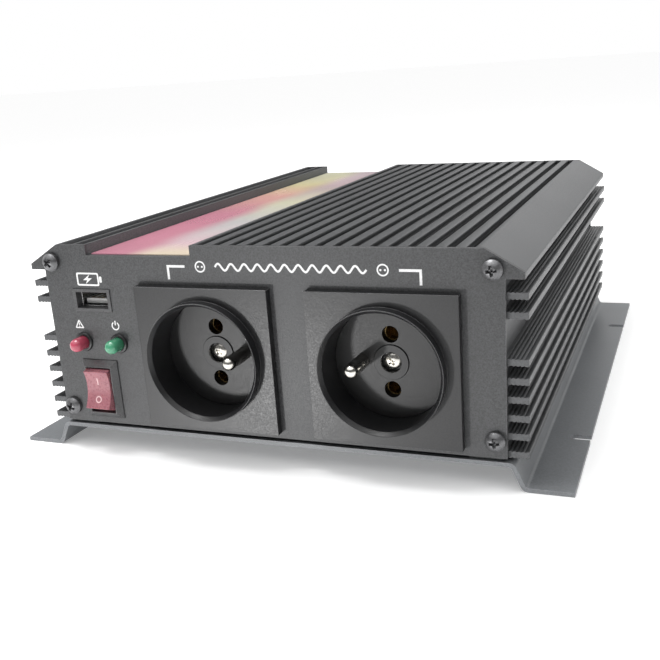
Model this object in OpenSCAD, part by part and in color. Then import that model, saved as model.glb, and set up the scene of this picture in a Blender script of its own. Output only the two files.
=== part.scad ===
// Mains power inverter. A finned aluminium housing is closed by two end panels and a steel base with feet.
// In front are two recessed outlets, a rocker switch, two lamps and a charging port. Behind are a fan and
// two battery posts with knobs.
// Modules draw in the case frame: x across, y back from the front panel's outer face,
// z up from the front panel's lower edge.

/* [Case] */
// Depth over both end panels
case_d = 230; // [225:1:260]
// Width of the end panels below their ears
panel_w = 167.4; // [167:0.1:168]
// Height of the end panels
panel_h = 67.4; // [67:0.1:70]
// Width over the ears and the side fins
ear_w = 179.2; // [178:0.1:182]
// Width of the flat top between the sloped shoulders
top_w = 154.8; // [154:0.1:156]
// Thickness of the end panels
sheet_t = 1.5; // [1.2:0.1:2]
// Width over the feet
feet_w = 209; // [206:1:214]
// Height of the end panels' lower edge above the floor
foot_drop = 10.8; // [9:0.1:13]

/* [Fins] */
// Number of grooves in the top
groove_count = 16; // [10:1:16]
// Distance between two top grooves
groove_pitch = 6.19; // [5.8:0.01:6.19]
// Width of a top groove
groove_w = 2.7; // [2:0.1:3.2]
// Depth of a top groove
groove_deep = 6; // [3:0.5:6]
// Thickness of a side fin
fin_t = 2.3; // [1.5:0.1:2.5]
// Distance between two side fins
fin_pitch = 6.1; // [5.8:0.1:6.2]

/* [Outlets] */
// Side of an outlet's square face
outlet_plate = 51; // [48:0.5:52]
// Radius of an outlet's recess
recess_r = 19.75; // [19.5:0.05:19.8]
// Distance between an outlet's two contact holes
contact_gap = 19; // [18.5:0.1:19.5]
// Radius of an earth pin
earth_r = 2.4; // [2.3:0.05:2.5]
// Distance of the earth pin from the outlet's centre
earth_off = 10; // [9.5:0.1:10.5]

/* [Switch] */
// Angle between the switch's off and on positions
rocker_swing = 12; // [10:1:16]

/* [Battery posts] */
// Radius of a post's stud
stud_r = 4; // [4:0.5:5]
// Radius of a post's knob
knob_r = 9; // [8:0.5:11]
// Travel of a knob along its stud
knob_travel = 5; // [3:0.5:5]

/* [Hidden] */
$fn = 64;
eps = 0.01;

half_panel = panel_w / 2;
half_ear = ear_w / 2;
half_top = top_w / 2;
ear_low = panel_h - 9.3;       // underside of the ears
ear_high = panel_h - 7.2;      // where the shoulder's slope ends
rear_y = case_d;               // outer face of the rear panel
shell_y0 = sheet_t;            // front end of the housing
shell_y1 = case_d - sheet_t;   // rear end of the housing
skirt_z = -1.2;                // lower edge of the housing
root_x = half_panel - 1.5;     // floor of the channels between the side fins
fin_tip_x = half_ear + 0.8;    // the side fins reach a little past the ears
wall_x = half_panel - 4.2;     // inner face of the side walls
ceiling_z = panel_h - 8.5;     // inner face of the top

recess_x0 = -65;               // label recess in the top
recess_x1 = -22.8;
recess_z = panel_h - 3.85;
first_groove_x = -19.6;
rail_groove_z = panel_h - 4;

port_x = 80;                   // screw ports along the housing
port_z = [6, 61];
port_r = 1.7;

base_t = 1.5;
base_z = skirt_z - base_t;     // underside of the base
web_x = 85.2;
foot_bend_x = 88.9;
bend_r = 2.25;                 // middle of the sheet at each bend
foot_z = -foot_drop;
slot_y = [44, case_d - 44];
slot_r = 2;
slot_deep = 7;
flange_x = 71;                 // inner edge of the housing's bottom flanges
flange_z = 1.3;
base_screw_x = 74;
base_screw_y = [22, case_d / 2, case_d - 22];

outlet_z = 27.9;
left_outlet_x = -19.5;
right_outlet_x = 44.7;
plate_y = -3;                  // face of an outlet's square plate
rim_y = -6.8;                  // front edge of the round rim on that plate
rim_r = recess_r + 1.4;
floor_y = 6.5;                 // surface that a plug's face meets
insert_t = 3;
block_y = 23;                  // rear of the outlet's terminal block
cup_r = recess_r + 1.65;
cup_y = floor_y + insert_t + 1.5;
pin_y = rim_y + earth_r;       // where the round end of an earth pin starts
contact_r = 2.5;
earth_stem_r = earth_r - 0.4;   // the pin behind the surface that a plug's face meets
sleeve_r = 3.2;

switch_x = -65.5;
switch_z = 13.6;
pivot_y = 2.5;
lamp_z = 31.4;
fault_x = -71;
power_x = -56;
lamp_r = 2.5;
lamp_tip_y = -7.2;
usb_x = -64.9;
usb_z = 47.2;

board_x = 78;
board_y0 = 38;
board_y1 = 204;
board_z = 10.5;
board_top = board_z + 1.6;
standoff_x = [-62, 62];
standoff_y = [46, 160, 198];
tab_y = block_y + 10;           // rear ends of the outlets' solder tabs
lead_x = [-19.1, 45];           // where the leads meet the tabs of the two outlets
live_z = 37.6;
neutral_z = 18.6;
earth_z = 28.1;
wire_r = 1.2;
transistor_y = [for (i = [0 : 7]) 52 + 18 * i];
clamp_screw_y = [for (i = [0 : 3]) 61 + 36 * i];
clamp_z = 25;
transformer_x = [-36, 24];
transformer_y = 130;

fan_x = -42;
fan_z = 29;
fan_t = 15;
fan_y = shell_y1 - fan_t;
fan_hole = 20;
fan_duct_r = 23.5;

positive_x = 48;
negative_x = 12;
post_z = 32;
insulator_t = 6;
washer_t = 1.6;
washer_y = rear_y + insulator_t + 0.05;
knob_y = washer_y + washer_t + 0.05;
knob_t = 12;
stud_end_y = knob_y + knob_t + knob_travel + 1.3;
pilot_r = stud_r - 0.3;         // plain end of a stud, past the knob
stud_in_y = shell_y1 - 14.5;
ground_x = 68;
ground_z = 14;

front_y = -(stud_end_y + lamp_tip_y) / 2;   // puts the origin under the middle of the whole object

module in_case() { translate([0, front_y, foot_drop]) children(); }

// Extrudes a profile drawn in x and z between two depths
module along_y(y0, y1) { translate([0, y1, 0]) rotate([90, 0, 0]) linear_extrude(y1 - y0) children(); }

// A round bar along y
module rod_y(r, y0, y1, x = 0, z = 0) {
  translate([x, y0, z]) rotate([-90, 0, 0]) cylinder(r = r, h = y1 - y0);
}

// A block given by its low and high corners
module block(low, high) { translate(low) cube([for (i = [0 : 2]) high[i] - low[i]]); }

// A pan head screw along +z whose head's underside is at z = 0
module pan_screw(head_r, head_h, shank_r, shank_l) {
  difference() {
    union() {
      intersection() {
        translate([0, 0, head_h - 1.25 * head_r - 0.3]) sphere(r = 1.25 * head_r + 0.3);
        cylinder(r = head_r, h = head_h);
      }
      translate([0, 0, -shank_l]) cylinder(r = shank_r, h = shank_l + eps);
    }
    for (a = [0, 90]) rotate(a) translate([-0.5 * head_r, -0.12 * head_r, head_h * 0.35])
      cube([head_r, 0.24 * head_r, head_h]);
  }
}

module ends_outline() {
  difference() {
    union() {
      translate([-half_panel, 0]) square([panel_w, ear_low + eps]);
      polygon([[-half_ear, ear_low], [half_ear, ear_low], [half_ear, ear_high],
               [half_top, panel_h], [-half_top, panel_h], [-half_ear, ear_high]]);
    }
    translate([recess_x0, recess_z]) square([recess_x1 - recess_x0, panel_h]);
  }
}

module panel_screw_holes() {
  for (x = [-port_x, port_x], z = port_z) translate([x, z]) circle(r = 2.2);
}

// ---- Housing ----

module side_fins() {
  for (i = [0 : 5]) translate([root_x - 1, i * fin_pitch]) square([fin_tip_x - root_x + 1, fin_t]);
  for (i = [0 : 1]) translate([root_x - 1, 45.4 + i * fin_pitch]) square([fin_tip_x - root_x + 1, fin_t]);
}

module top_grooves() {
  for (i = [0 : groove_count - 1])
    translate([first_groove_x + i * groove_pitch - groove_w / 2, panel_h - groove_deep])
      square([groove_w, groove_deep + 1]);
  translate([-76.2, rail_groove_z]) square([4.9, 5]);
  translate([-70, rail_groove_z]) square([3.7, 5]);
  translate([recess_x0, recess_z]) square([recess_x1 - recess_x0, 5]);
}

module housing_profile() {
  difference() {
    union() {
      translate([-root_x, skirt_z]) square([2 * root_x, ear_low - skirt_z + eps]);
      polygon([[-half_ear, ear_low], [half_ear, ear_low], [half_ear, ear_high],
               [half_top, panel_h], [-half_top, panel_h], [-half_ear, ear_high]]);
      side_fins();
      mirror([1, 0]) side_fins();
      for (x = [-port_x, port_x]) translate([x, port_z[0]]) circle(r = 3.6);
    }
    difference() {
      translate([-wall_x, skirt_z - 1]) square([2 * wall_x, ceiling_z - skirt_z + 1]);
      for (x = [-port_x, port_x], z = port_z) translate([x, z]) circle(r = 3.6);
      for (s = [-1, 1]) translate([s * (flange_x + wall_x + 1) / 2, (skirt_z + flange_z) / 2])
        square([wall_x - flange_x + 1, flange_z - skirt_z], center = true);
    }
    top_grooves();
    for (x = [-port_x, port_x], z = port_z) translate([x, z]) circle(r = port_r);
  }
}

module housing() in_case() color([0.2, 0.2, 0.21]) difference() {
  along_y(shell_y0, shell_y1) housing_profile();
  for (x = [-base_screw_x, base_screw_x], y = base_screw_y)
    translate([x, y, skirt_z - 1]) cylinder(r = 1.25, h = 5);
  for (s = [-1, 1], y = clamp_screw_y) mirror([s < 0 ? 1 : 0, 0, 0])
    translate([wall_x - 1, y, clamp_z]) rotate([0, 90, 0]) cylinder(r = 1.25, h = 3);
}

// ---- Base ----

// A point of a path, moved square to the path by a distance
function shifted(path, i, distance) =
  let (last = len(path) - 1,
       before = path[max(i, 1)] - path[max(i, 1) - 1],
       after = path[min(i, last - 1) + 1] - path[min(i, last - 1)],
       across = [-before[1], before[0]] / norm(before) + [-after[1], after[0]] / norm(after))
  path[i] + across * 2 * distance / (across * across);

module base_profile() {
  base_mid = (base_z + skirt_z) / 2;
  foot_mid = foot_z + base_t / 2;
  bend = atan2(base_mid - foot_mid, foot_bend_x - web_x);
  cut = bend_r * tan(bend / 2);
  half = concat(
    [for (k = [0 : 6]) [web_x - cut, base_mid - bend_r] + bend_r * [sin(bend * k / 6), cos(bend * k / 6)]],
    [for (k = [6 : -1 : 0])
      [foot_bend_x + cut, foot_mid + bend_r] - bend_r * [sin(bend * k / 6), cos(bend * k / 6)]],
    [[feet_w / 2, foot_mid]]);
  path = concat([for (i = [len(half) - 1 : -1 : 0]) [-half[i][0], half[i][1]]], half);
  polygon(concat([for (i = [0 : len(path) - 1]) shifted(path, i, base_t / 2)],
                 [for (i = [len(path) - 1 : -1 : 0]) shifted(path, i, -base_t / 2)]));
}

module base_plate() in_case() color([0.3, 0.3, 0.31]) difference() {
  along_y(0, case_d) base_profile();
  for (s = [-1, 1], y = slot_y) {
    tip = feet_w / 2 - slot_deep + slot_r;
    translate([s * tip, y, foot_z - 1]) cylinder(r = slot_r, h = 4);
    translate([s * (tip + 5), y, foot_z + 1]) cube([10, 2 * slot_r, 4], center = true);
  }
  for (x = [-base_screw_x, base_screw_x], y = base_screw_y)
    translate([x, y, base_z - 1]) cylinder(r = 1.6, h = 4);
  for (x = standoff_x, y = standoff_y) translate([x, y, base_z - 1]) cylinder(r = 1.6, h = 4);
  for (i = [-5 : 5], y = [64, 96]) block([i * 9 - 1.5, y, base_z - 1], [i * 9 + 1.5, y + 22, skirt_z + 1]);
}

// The small screws that hold the base, the standoffs, the main board and the clamp bars
module small_screws() in_case() color([0.55, 0.55, 0.56]) {
  for (x = [-base_screw_x, base_screw_x], y = base_screw_y)
    translate([x, y, base_z]) mirror([0, 0, 1]) pan_screw(2.8, 1.8, 1.25, base_t + 2.4);
  for (x = standoff_x, y = standoff_y) {
    translate([x, y, base_z]) mirror([0, 0, 1]) pan_screw(2.8, 1.8, 1.25, base_t + 4);
    translate([x, y, board_top]) pan_screw(2.8, 1.8, 1.25, 5);
  }
  for (s = [-1, 1], y = clamp_screw_y) mirror([s < 0 ? 1 : 0, 0, 0])
    translate([wall_x - 9, y, clamp_z]) rotate([0, -90, 0]) pan_screw(2.8, 1.8, 1.25, 10.9);
}

// ---- End panels ----

module front_panel() in_case() color([0.24, 0.24, 0.25]) along_y(0, sheet_t) difference() {
  ends_outline();
  panel_screw_holes();
  for (x = [left_outlet_x, right_outlet_x]) translate([x, outlet_z]) circle(r = cup_r + 0.1);
  translate([switch_x, switch_z]) square([13, 19], center = true);
  for (x = [fault_x, power_x]) translate([x, lamp_z]) circle(r = 3.05);
  translate([usb_x, usb_z]) square([15, 7.6], center = true);
}

module rear_panel() in_case() color([0.24, 0.24, 0.25]) along_y(shell_y1, rear_y) difference() {
  ends_outline();
  panel_screw_holes();
  translate([fan_x, fan_z]) {
    circle(r = fan_duct_r - 0.5);
    for (x = [-fan_hole, fan_hole], z = [-fan_hole, fan_hole]) translate([x, z]) circle(r = 2.15);
  }
  for (x = [positive_x, negative_x]) translate([x, post_z]) circle(r = 6.1);
  translate([ground_x, ground_z]) circle(r = 2.6);
  for (i = [0 : 7]) translate([4 + i * 7, 6]) square([3, 10]);
}

module top_label() in_case() color([0.85, 0.45, 0.5])
  block([recess_x0 + 0.5, shell_y0 + 0.5, recess_z], [recess_x1 - 0.5, shell_y1 - 0.5, recess_z + 0.3]);

module panel_screws() in_case() color([0.3, 0.3, 0.31]) for (x = [-port_x, port_x], z = port_z) {
  translate([x, 0, z]) rotate([90, 0, 0]) pan_screw(3.25, 3, port_r, 9);
  translate([x, rear_y, z]) rotate([-90, 0, 0]) pan_screw(3.25, 3, port_r, 9);
}

// ---- Outlets: the left one is the right one turned by half a turn ----

module place_outlet(x, turn) { in_case() translate([x, 0, outlet_z]) rotate([0, turn, 0]) children(); }

module outlet_body() color([0.1, 0.1, 0.1]) difference() {
  union() {
    block([-outlet_plate / 2, plate_y, -outlet_plate / 2], [outlet_plate / 2, 0, outlet_plate / 2]);
    rod_y(rim_r, rim_y, plate_y + 0.1);
    rod_y(cup_r, -eps, cup_y);
    rod_y(17, cup_y - 0.1, block_y);
  }
  rod_y(recess_r, rim_y - 1, floor_y + insert_t);
  translate([0, rim_y - eps, 0]) rotate([-90, 0, 0]) cylinder(r1 = rim_r - 0.3, r2 = recess_r, h = 1.6);
  for (s = [-1, 1]) rod_y(sleeve_r, floor_y, block_y + 1, 0, s * contact_gap / 2);
  rod_y(earth_stem_r, floor_y, block_y + 1, -earth_off, 0);
  rod_y(1.5, floor_y, block_y - 3);
}

module outlet_insert() color([0.13, 0.13, 0.13]) difference() {
  union() {
    rod_y(recess_r - 0.02, floor_y, floor_y + insert_t);
    rod_y(6, floor_y - 0.5, floor_y + eps);
  }
  for (s = [-1, 1]) rod_y(2.75, floor_y - 1, floor_y + insert_t + 1, 0, s * contact_gap / 2);
  rod_y(earth_stem_r, floor_y - 1, floor_y + insert_t + 1, -earth_off, 0);
  rod_y(3.5, floor_y - 1, floor_y + 1.6);
  rod_y(1.6, floor_y - 1, floor_y + insert_t + 1);
}

module earth_pin() color([0.75, 0.76, 0.77]) {
  rod_y(earth_r, pin_y, floor_y, -earth_off, 0);
  rod_y(earth_stem_r, floor_y - eps, block_y + 1, -earth_off, 0);
  translate([-earth_off, pin_y, 0]) sphere(r = earth_r);
  block([-earth_off - 0.4, block_y, -2], [-earth_off + 0.4, tab_y, 2]);
}

module outlet_contacts() color([0.78, 0.62, 0.3]) for (s = [-1, 1]) translate([0, 0, s * contact_gap / 2]) {
  difference() {
    rod_y(sleeve_r, floor_y + insert_t, block_y);
    rod_y(contact_r, floor_y, block_y - 1);
  }
  block([-2, block_y - 0.5, -0.4], [2, tab_y, 0.4]);
}

module left_outlet_body() place_outlet(left_outlet_x, 180) outlet_body();
module right_outlet_body() place_outlet(right_outlet_x, 0) outlet_body();
module left_outlet_insert() place_outlet(left_outlet_x, 180) outlet_insert();
module right_outlet_insert() place_outlet(right_outlet_x, 0) outlet_insert();
module left_earth_pin() place_outlet(left_outlet_x, 180) earth_pin();
module right_earth_pin() place_outlet(right_outlet_x, 0) earth_pin();
module left_contacts() place_outlet(left_outlet_x, 180) outlet_contacts();
module right_contacts() place_outlet(right_outlet_x, 0) outlet_contacts();

module outlet_screws() color([0.75, 0.75, 0.76])
  for (x = [left_outlet_x, right_outlet_x]) place_outlet(x, 0)
    translate([0, floor_y + 1.6, 0]) rotate([90, 0, 0]) pan_screw(2.9, 1.4, 1.5, 10);

// ---- Rocker switch ----

module place_switch() { in_case() translate([switch_x, 0, switch_z]) children(); }

module switch_frame() place_switch() color([0.16, 0.16, 0.17]) difference() {
  union() {
    hull() {
      block([-7.5, -0.4, -11.2], [7.5, 0, 11.2]);
      block([-5.6, -2.3, -9.1], [5.6, 0, 9.1]);
    }
    block([-6.4, -eps, -9.4], [6.4, 17, 9.4]);
  }
  block([-5.25, -3, -8.6], [5.25, 5.8, 8.6]);
  translate([-6.35, pivot_y, 0]) rotate([0, 90, 0]) cylinder(r = 1.25, h = 12.7);
}

// The face is a hollow arc between two raised ends. It rests tilted, with the upper end pressed in.
module rocker() place_switch() color([0.7, 0.16, 0.2]) translate([0, pivot_y, 0]) {
  half = 7.9;
  face = 7.4;
  face_half = 6.9;
  sag = 1.6;
  chord = face_half - 0.3;
  arc_r = (chord * chord + sag * sag) / (2 * sag);
  rotate([90, 0, -90]) rotate(rocker_swing / 2) linear_extrude(10, center = true) difference() {
    polygon([[-1.5, -6.3], [0.1, -half], [face - 3, -half], [face, -face_half],
             [face, face_half], [face - 3, half], [0.1, half], [-1.5, 6.3]]);
    translate([face - sag + arc_r, 0]) circle(r = arc_r, $fn = 96);
  }
  translate([-6.3, 0, 0]) rotate([0, 90, 0]) cylinder(r = 1.2, h = 12.6);
}

module switch_terminals() place_switch() color([0.8, 0.78, 0.7])
  for (z = [-6, 0, 6]) difference() {
    block([-2.4, 17, z - 0.4], [2.4, 25, z + 0.4]);
    translate([0, 22.5, z - 1]) cylinder(r = 0.8, h = 2);
  }

// ---- Lamps ----

module lamp(x) in_case() translate([x, 0, lamp_z]) {
  rod_y(lamp_r, lamp_tip_y + lamp_r, 4);
  translate([0, lamp_tip_y + lamp_r, 0]) sphere(r = lamp_r);
  rod_y(2.9, 3, 4);
  for (s = [-1, 1]) block([s * 1.27 - 0.25, 3.9, -0.25], [s * 1.27 + 0.25, 8, 0.25]);
}
module fault_lamp() color([0.75, 0.1, 0.12]) lamp(fault_x);
module power_lamp() color([0.1, 0.5, 0.2]) lamp(power_x);

module lamp_collars() color([0.12, 0.12, 0.12]) for (x = [fault_x, power_x]) in_case() difference() {
  union() {
    rod_y(3.6, -1, 0, x, lamp_z);
    rod_y(3.04, -eps, 2.9, x, lamp_z);
  }
  rod_y(lamp_r + 0.02, -2, 4, x, lamp_z);
}

module lamp_board() in_case() color([0.1, 0.35, 0.18]) block([-76, 8, 27], [-50, 9.2, 36]);

// ---- Charging port ----

module place_usb() { in_case() translate([usb_x, 0, usb_z]) children(); }

module usb_frame() place_usb() color([0.12, 0.12, 0.12]) difference() {
  union() {
    block([-7.9, -0.4, -4.2], [7.9, 0, 4.2]);
    block([-7.5, -eps, -3.8], [7.5, 6, 3.8]);
  }
  block([-6.6, -1, -2.95], [6.6, 7, 2.95]);
}

module usb_shell() place_usb() color([0.7, 0.7, 0.71]) difference() {
  block([-6.55, 2.6, -2.9], [6.55, 14.5, 2.9]);
  block([-6.25, 2, -2.56], [6.25, 14.2, 2.56]);
}

module usb_tongue() place_usb() color([0.85, 0.85, 0.82]) union() {
  block([-5.5, 4, -2.1], [5.5, 14.2, -0.3]);
  for (x = [-3.5, -1, 1, 3.5]) block([x - 0.5, 4.8, -0.35], [x + 0.5, 12, -0.15]);
  block([-6.2, 12.5, -2.5], [6.2, 14.2, 2.5]);
}

module usb_board() place_usb() color([0.1, 0.35, 0.18]) union() {
  block([-9, 7, -4.1], [9, 32, -2.9]);
  block([-5, 19, -3], [5, 26, 1]);
}

// ---- Electronics ----

module main_board() in_case() color([0.1, 0.35, 0.18]) difference() {
  block([-board_x, board_y0, board_z], [board_x, board_y1, board_top]);
  for (x = standoff_x, y = standoff_y) translate([x, y, board_z - 1]) cylinder(r = 1.6, h = 4);
}

module standoffs() in_case() color([0.8, 0.65, 0.35]) for (x = standoff_x, y = standoff_y) difference() {
  translate([x, y, skirt_z]) cylinder(r = 3.2, h = board_z - skirt_z, $fn = 6);
  translate([x, y, skirt_z - 1]) cylinder(r = 1.25, h = board_z + 5);
}

module control_board() in_case() color([0.1, 0.3, 0.16]) union() {
  block([-34, 58, board_top], [26, 59.6, 48]);
  for (x = [-24, -4, 14]) block([x - 5, 59.5, 26], [x + 5, 61.5, 34]);
}

// An insulated wire through a list of points, with flat ends
module wire(points, r) {
  last = len(points) - 1;
  for (i = [1 : last]) {
    run = points[i] - points[i - 1];
    translate(points[i - 1]) rotate([0, acos(run[2] / norm(run)), atan2(run[1], run[0])])
      cylinder(r = r, h = norm(run), $fn = 24);
    if (i < last) translate(points[i]) sphere(r = r, $fn = 24);
  }
}

module live_wires() in_case() color([0.4, 0.2, 0.1]) {
  wire([[lead_x[1], tab_y, live_z], [lead_x[1], 36.4, 40], [13, 36.4, 43],
        [lead_x[0], 36.4, 40], [lead_x[0], tab_y, live_z]], wire_r);
  wire([[lead_x[1], tab_y, live_z], [lead_x[1], 36.4, 40], [52, 42, 30],
        [52, 44, 18], [52, 44, board_top]], wire_r);
}

module neutral_wires() in_case() color([0.1, 0.25, 0.6]) {
  wire([[lead_x[1], tab_y, neutral_z], [lead_x[1], 36, 17], [13, 36, 15],
        [lead_x[0], 36, 17], [lead_x[0], tab_y, neutral_z]], wire_r);
  wire([[lead_x[1], tab_y, neutral_z], [lead_x[1], 36, 17], [38, 42, 20],
        [38, 44, 17], [38, 44, board_top]], wire_r);
}

module earth_wires() in_case() color([0.3, 0.6, 0.15]) {
  right_x = lead_x[1] - earth_off;
  left_x = lead_x[0] + earth_off;
  wire([[left_x, tab_y, earth_z], [left_x, 36, earth_z], [right_x, 36, earth_z],
        [right_x, tab_y, earth_z]], wire_r);
  wire([[right_x, tab_y, earth_z], [right_x, 36, earth_z], [67, 36, 22], [67, 34, 5],
        [67, 34, skirt_z]], wire_r);
}

module transformer_cores() in_case() color([0.22, 0.21, 0.2]) for (x = transformer_x)
  translate([x, transformer_y, board_top]) difference() {
    block([-26, -14, 0], [26, 14, 40]);
    for (s = [-1, 1]) block([s * 13.5 - 5.5, -15, 7], [s * 13.5 + 5.5, 15, 33]);
  }

module transformer_windings() in_case() color([0.75, 0.6, 0.2]) for (x = transformer_x)
  translate([x, transformer_y, board_top]) difference() {
    union() {
      block([-18, -22, 7], [18, 22, 9]);
      block([-16.5, -20.5, 8.9], [16.5, 20.5, 31.1]);
      block([-18, -22, 31], [18, 22, 33]);
    }
    block([-8, -14, 0], [8, 14, 40]);
  }

// A can capacitor standing at z = 0
module can(r, h) {
  rotate_extrude() difference() {
    square([r, h]);
    translate([r + 0.4, 3.5]) circle(r = 1, $fn = 24);
    translate([-1, h - 0.5]) square([r * 0.8 + 1, 2]);
  }
}

module input_capacitors() in_case() color([0.12, 0.14, 0.3])
  for (i = [0 : 3]) translate([-54 + 22 * i, 178, board_top]) can(9, 32);

module bus_capacitors() in_case() color([0.1, 0.1, 0.12])
  for (x = [-45, -15]) translate([x, 85, board_top]) can(12.5, 40);

module film_capacitor() in_case() color([0.75, 0.15, 0.12])
  block([44, 56, board_top], [64, 66, board_top + 18]);

module choke_core() in_case() color([0.75, 0.7, 0.25]) translate([26, 86, board_top + 2]) rotate_extrude()
  translate([10, 0]) square([7, 12]);

module choke_winding() in_case() color([0.72, 0.4, 0.2]) translate([26, 86, board_top + 2]) difference() {
  rotate([0, 0, 20]) rotate_extrude(angle = 320) difference() {
    translate([8, -2]) square([11, 16]);
    translate([10, 0]) square([7, 12]);
  }
}

module transistors() in_case() color([0.13, 0.13, 0.14]) for (s = [-1, 1], y = transistor_y)
  translate([0, y, 0]) mirror([s < 0 ? 1 : 0, 0, 0]) union() {
    difference() {
      block([wall_x - 1.8, -5, 20], [wall_x - 0.5, 5, 36]);
      translate([wall_x - 3, 0, 33]) rotate([0, 90, 0]) cylinder(r = 1.8, h = 4);
    }
    block([wall_x - 5, -5, 20], [wall_x - 1.7, 5, 29.4]);
    for (i = [-1 : 1])
      block([wall_x - 3.5, i * 2.54 - 0.5, board_top], [wall_x - 2.9, i * 2.54 + 0.5, 20.1]);
  }

module insulating_strips() in_case() color([0.6, 0.6, 0.62]) for (s = [-1, 1]) mirror([s < 0 ? 1 : 0, 0, 0])
  difference() {
    block([wall_x - 0.5, 44, 17], [wall_x, 188, 40]);
    for (y = clamp_screw_y) translate([wall_x - 2, y, clamp_z]) rotate([0, 90, 0]) cylinder(r = 1.6, h = 4);
  }

module clamp_bars() in_case() color([0.7, 0.7, 0.72]) for (s = [-1, 1]) mirror([s < 0 ? 1 : 0, 0, 0])
  difference() {
    block([wall_x - 9, 44, clamp_z - 3], [wall_x - 5, 188, clamp_z + 3]);
    for (y = clamp_screw_y) translate([wall_x - 10, y, clamp_z]) rotate([0, 90, 0]) cylinder(r = 1.6, h = 6);
  }

module fuses() in_case() color([0.85, 0.45, 0.1]) for (i = [0 : 3]) translate([34 + 9 * i, 180, board_top]) {
  block([-2.6, -9.5, 3], [2.6, 9.5, 14]);
  for (s = [-1, 1]) block([-0.4, s * 6 - 2.6, 0], [0.4, s * 6 + 2.6, 3.1]);
}

// ---- Fan ----

module place_fan() { in_case() translate([fan_x, fan_y, fan_z]) children(); }

module fan_frame() place_fan() color([0.1, 0.1, 0.1]) difference() {
  union() {
    difference() {
      block([-25, 0, -25], [25, fan_t, 25]);
      rod_y(fan_duct_r, -1, fan_t + 1);
    }
    rod_y(12, 0, 2);
    for (a = [0 : 3]) rotate([0, 45 + 90 * a, 0]) block([10, 0, -1.5], [fan_duct_r + 1, 2, 1.5]);
    rod_y(3, 1.9, 10.5);
  }
  rod_y(1.55, -1, 12);
  for (x = [-fan_hole, fan_hole], z = [-fan_hole, fan_hole]) rod_y(2.15, -1, fan_t + 1, x, z);
}

module fan_stator() place_fan() color([0.7, 0.45, 0.25]) difference() {
  union() {
    rod_y(4.5, 3.5, 9.5);
    for (a = [0 : 3]) rotate([0, 90 * a, 0]) {
      block([3.5, 3.5, -1.6], [9.4, 9.5, 1.6]);
      block([7.8, 3.2, -4.4], [9.4, 9.8, 4.4]);
    }
  }
  rod_y(3, 0, 12);
}

module fan_rotor() place_fan() color([0.14, 0.14, 0.15]) {
  difference() {
    rod_y(12.5, 3, 13.5);
    rod_y(10.6, 2, 12);
  }
  rod_y(1.5, 2.5, 12.5);
  for (a = [0 : 6]) rotate([0, a * 360 / 7, 0]) intersection() {
    difference() {
      rod_y(22.8, 3, 13);
      rod_y(12.3, 2, 14);
    }
    translate([17.5, 8, 0]) rotate([42, 0, 0]) cube([14, 15, 1.4], center = true);
  }
}

module fan_grille() place_fan() color([0.75, 0.75, 0.76]) translate([0, fan_t + sheet_t, 0]) {
  for (r = [7, 12, 17, 22]) translate([0, 2, 0]) rotate([90, 0, 0]) rotate_extrude()
    translate([r, 0]) circle(r = 0.8, $fn = 24);
  for (a = [0 : 3]) rotate([0, 45 + 90 * a, 0]) {
    translate([6.6, 0.8, 0]) rotate([0, 90, 0]) cylinder(r = 0.8, h = 18.9, $fn = 24);
    difference() {
      rod_y(3.6, 0, 1.6, fan_hole * sqrt(2), 0);
      rod_y(2.2, -1, 3, fan_hole * sqrt(2), 0);
    }
  }
}

module fan_screws() place_fan() color([0.3, 0.3, 0.31]) {
  for (x = [-fan_hole, fan_hole], z = [-fan_hole, fan_hole]) {
    translate([x, fan_t + sheet_t + 1.6, z]) rotate([-90, 0, 0]) pan_screw(3.2, 2, 2, 21);
    difference() {
      translate([x, -3, z]) rotate([-90, 0, 0]) cylinder(r = 3.9, h = 2.9, $fn = 6);
      rod_y(2.01, -4, 1, x, z);
    }
  }
}

// ---- Battery posts ----

module place_post(x) { in_case() translate([x, 0, post_z]) children(); }

module insulator() difference() {
  union() {
    rod_y(11.5, rear_y, rear_y + insulator_t);
    rod_y(6, shell_y1 - 2.5, rear_y + eps);
  }
  rod_y(stud_r, shell_y1 - 4, rear_y + insulator_t + 1);
}
module positive_insulator() place_post(positive_x) color([0.75, 0.1, 0.1]) insulator();
module negative_insulator() place_post(negative_x) color([0.1, 0.1, 0.1]) insulator();

module inner_insulators() color([0.15, 0.15, 0.15])
  for (x = [positive_x, negative_x]) place_post(x) difference() {
  rod_y(10, shell_y1 - 2.5, shell_y1);
  rod_y(6, shell_y1 - 4, shell_y1 + 1);
}

module post_studs() color([0.8, 0.66, 0.35]) for (x = [positive_x, negative_x]) place_post(x) {
  rod_y(stud_r, stud_in_y, knob_y + knob_t);
  rod_y(pilot_r, knob_y + knob_t - eps, stud_end_y);
}

module stud_nuts() color([0.8, 0.66, 0.35]) for (x = [positive_x, negative_x]) place_post(x) difference() {
  translate([0, shell_y1 - 11, 0]) rotate([-90, 0, 0]) cylinder(r = 7.5, h = 6.5, $fn = 6);
  rod_y(stud_r, shell_y1 - 12, shell_y1);
}

module busbars() color([0.75, 0.42, 0.25]) for (x = [positive_x, negative_x]) in_case() difference() {
  union() {
    block([x - 9, shell_y1 - 4.5, board_top], [x + 9, shell_y1 - 2.5, post_z + 10]);
    block([x - 9, board_y1 - 10, board_top], [x + 9, shell_y1 - 2.6, board_top + 2]);
  }
  rod_y(stud_r, shell_y1 - 8, shell_y1, x, post_z);
}

module washer() difference() {
  rod_y(8, washer_y, washer_y + washer_t);
  rod_y(stud_r + 0.05, washer_y - 1, washer_y + washer_t + 1);
}
module positive_washer() place_post(positive_x) color([0.8, 0.66, 0.35]) washer();
module negative_washer() place_post(negative_x) color([0.8, 0.66, 0.35]) washer();

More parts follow.
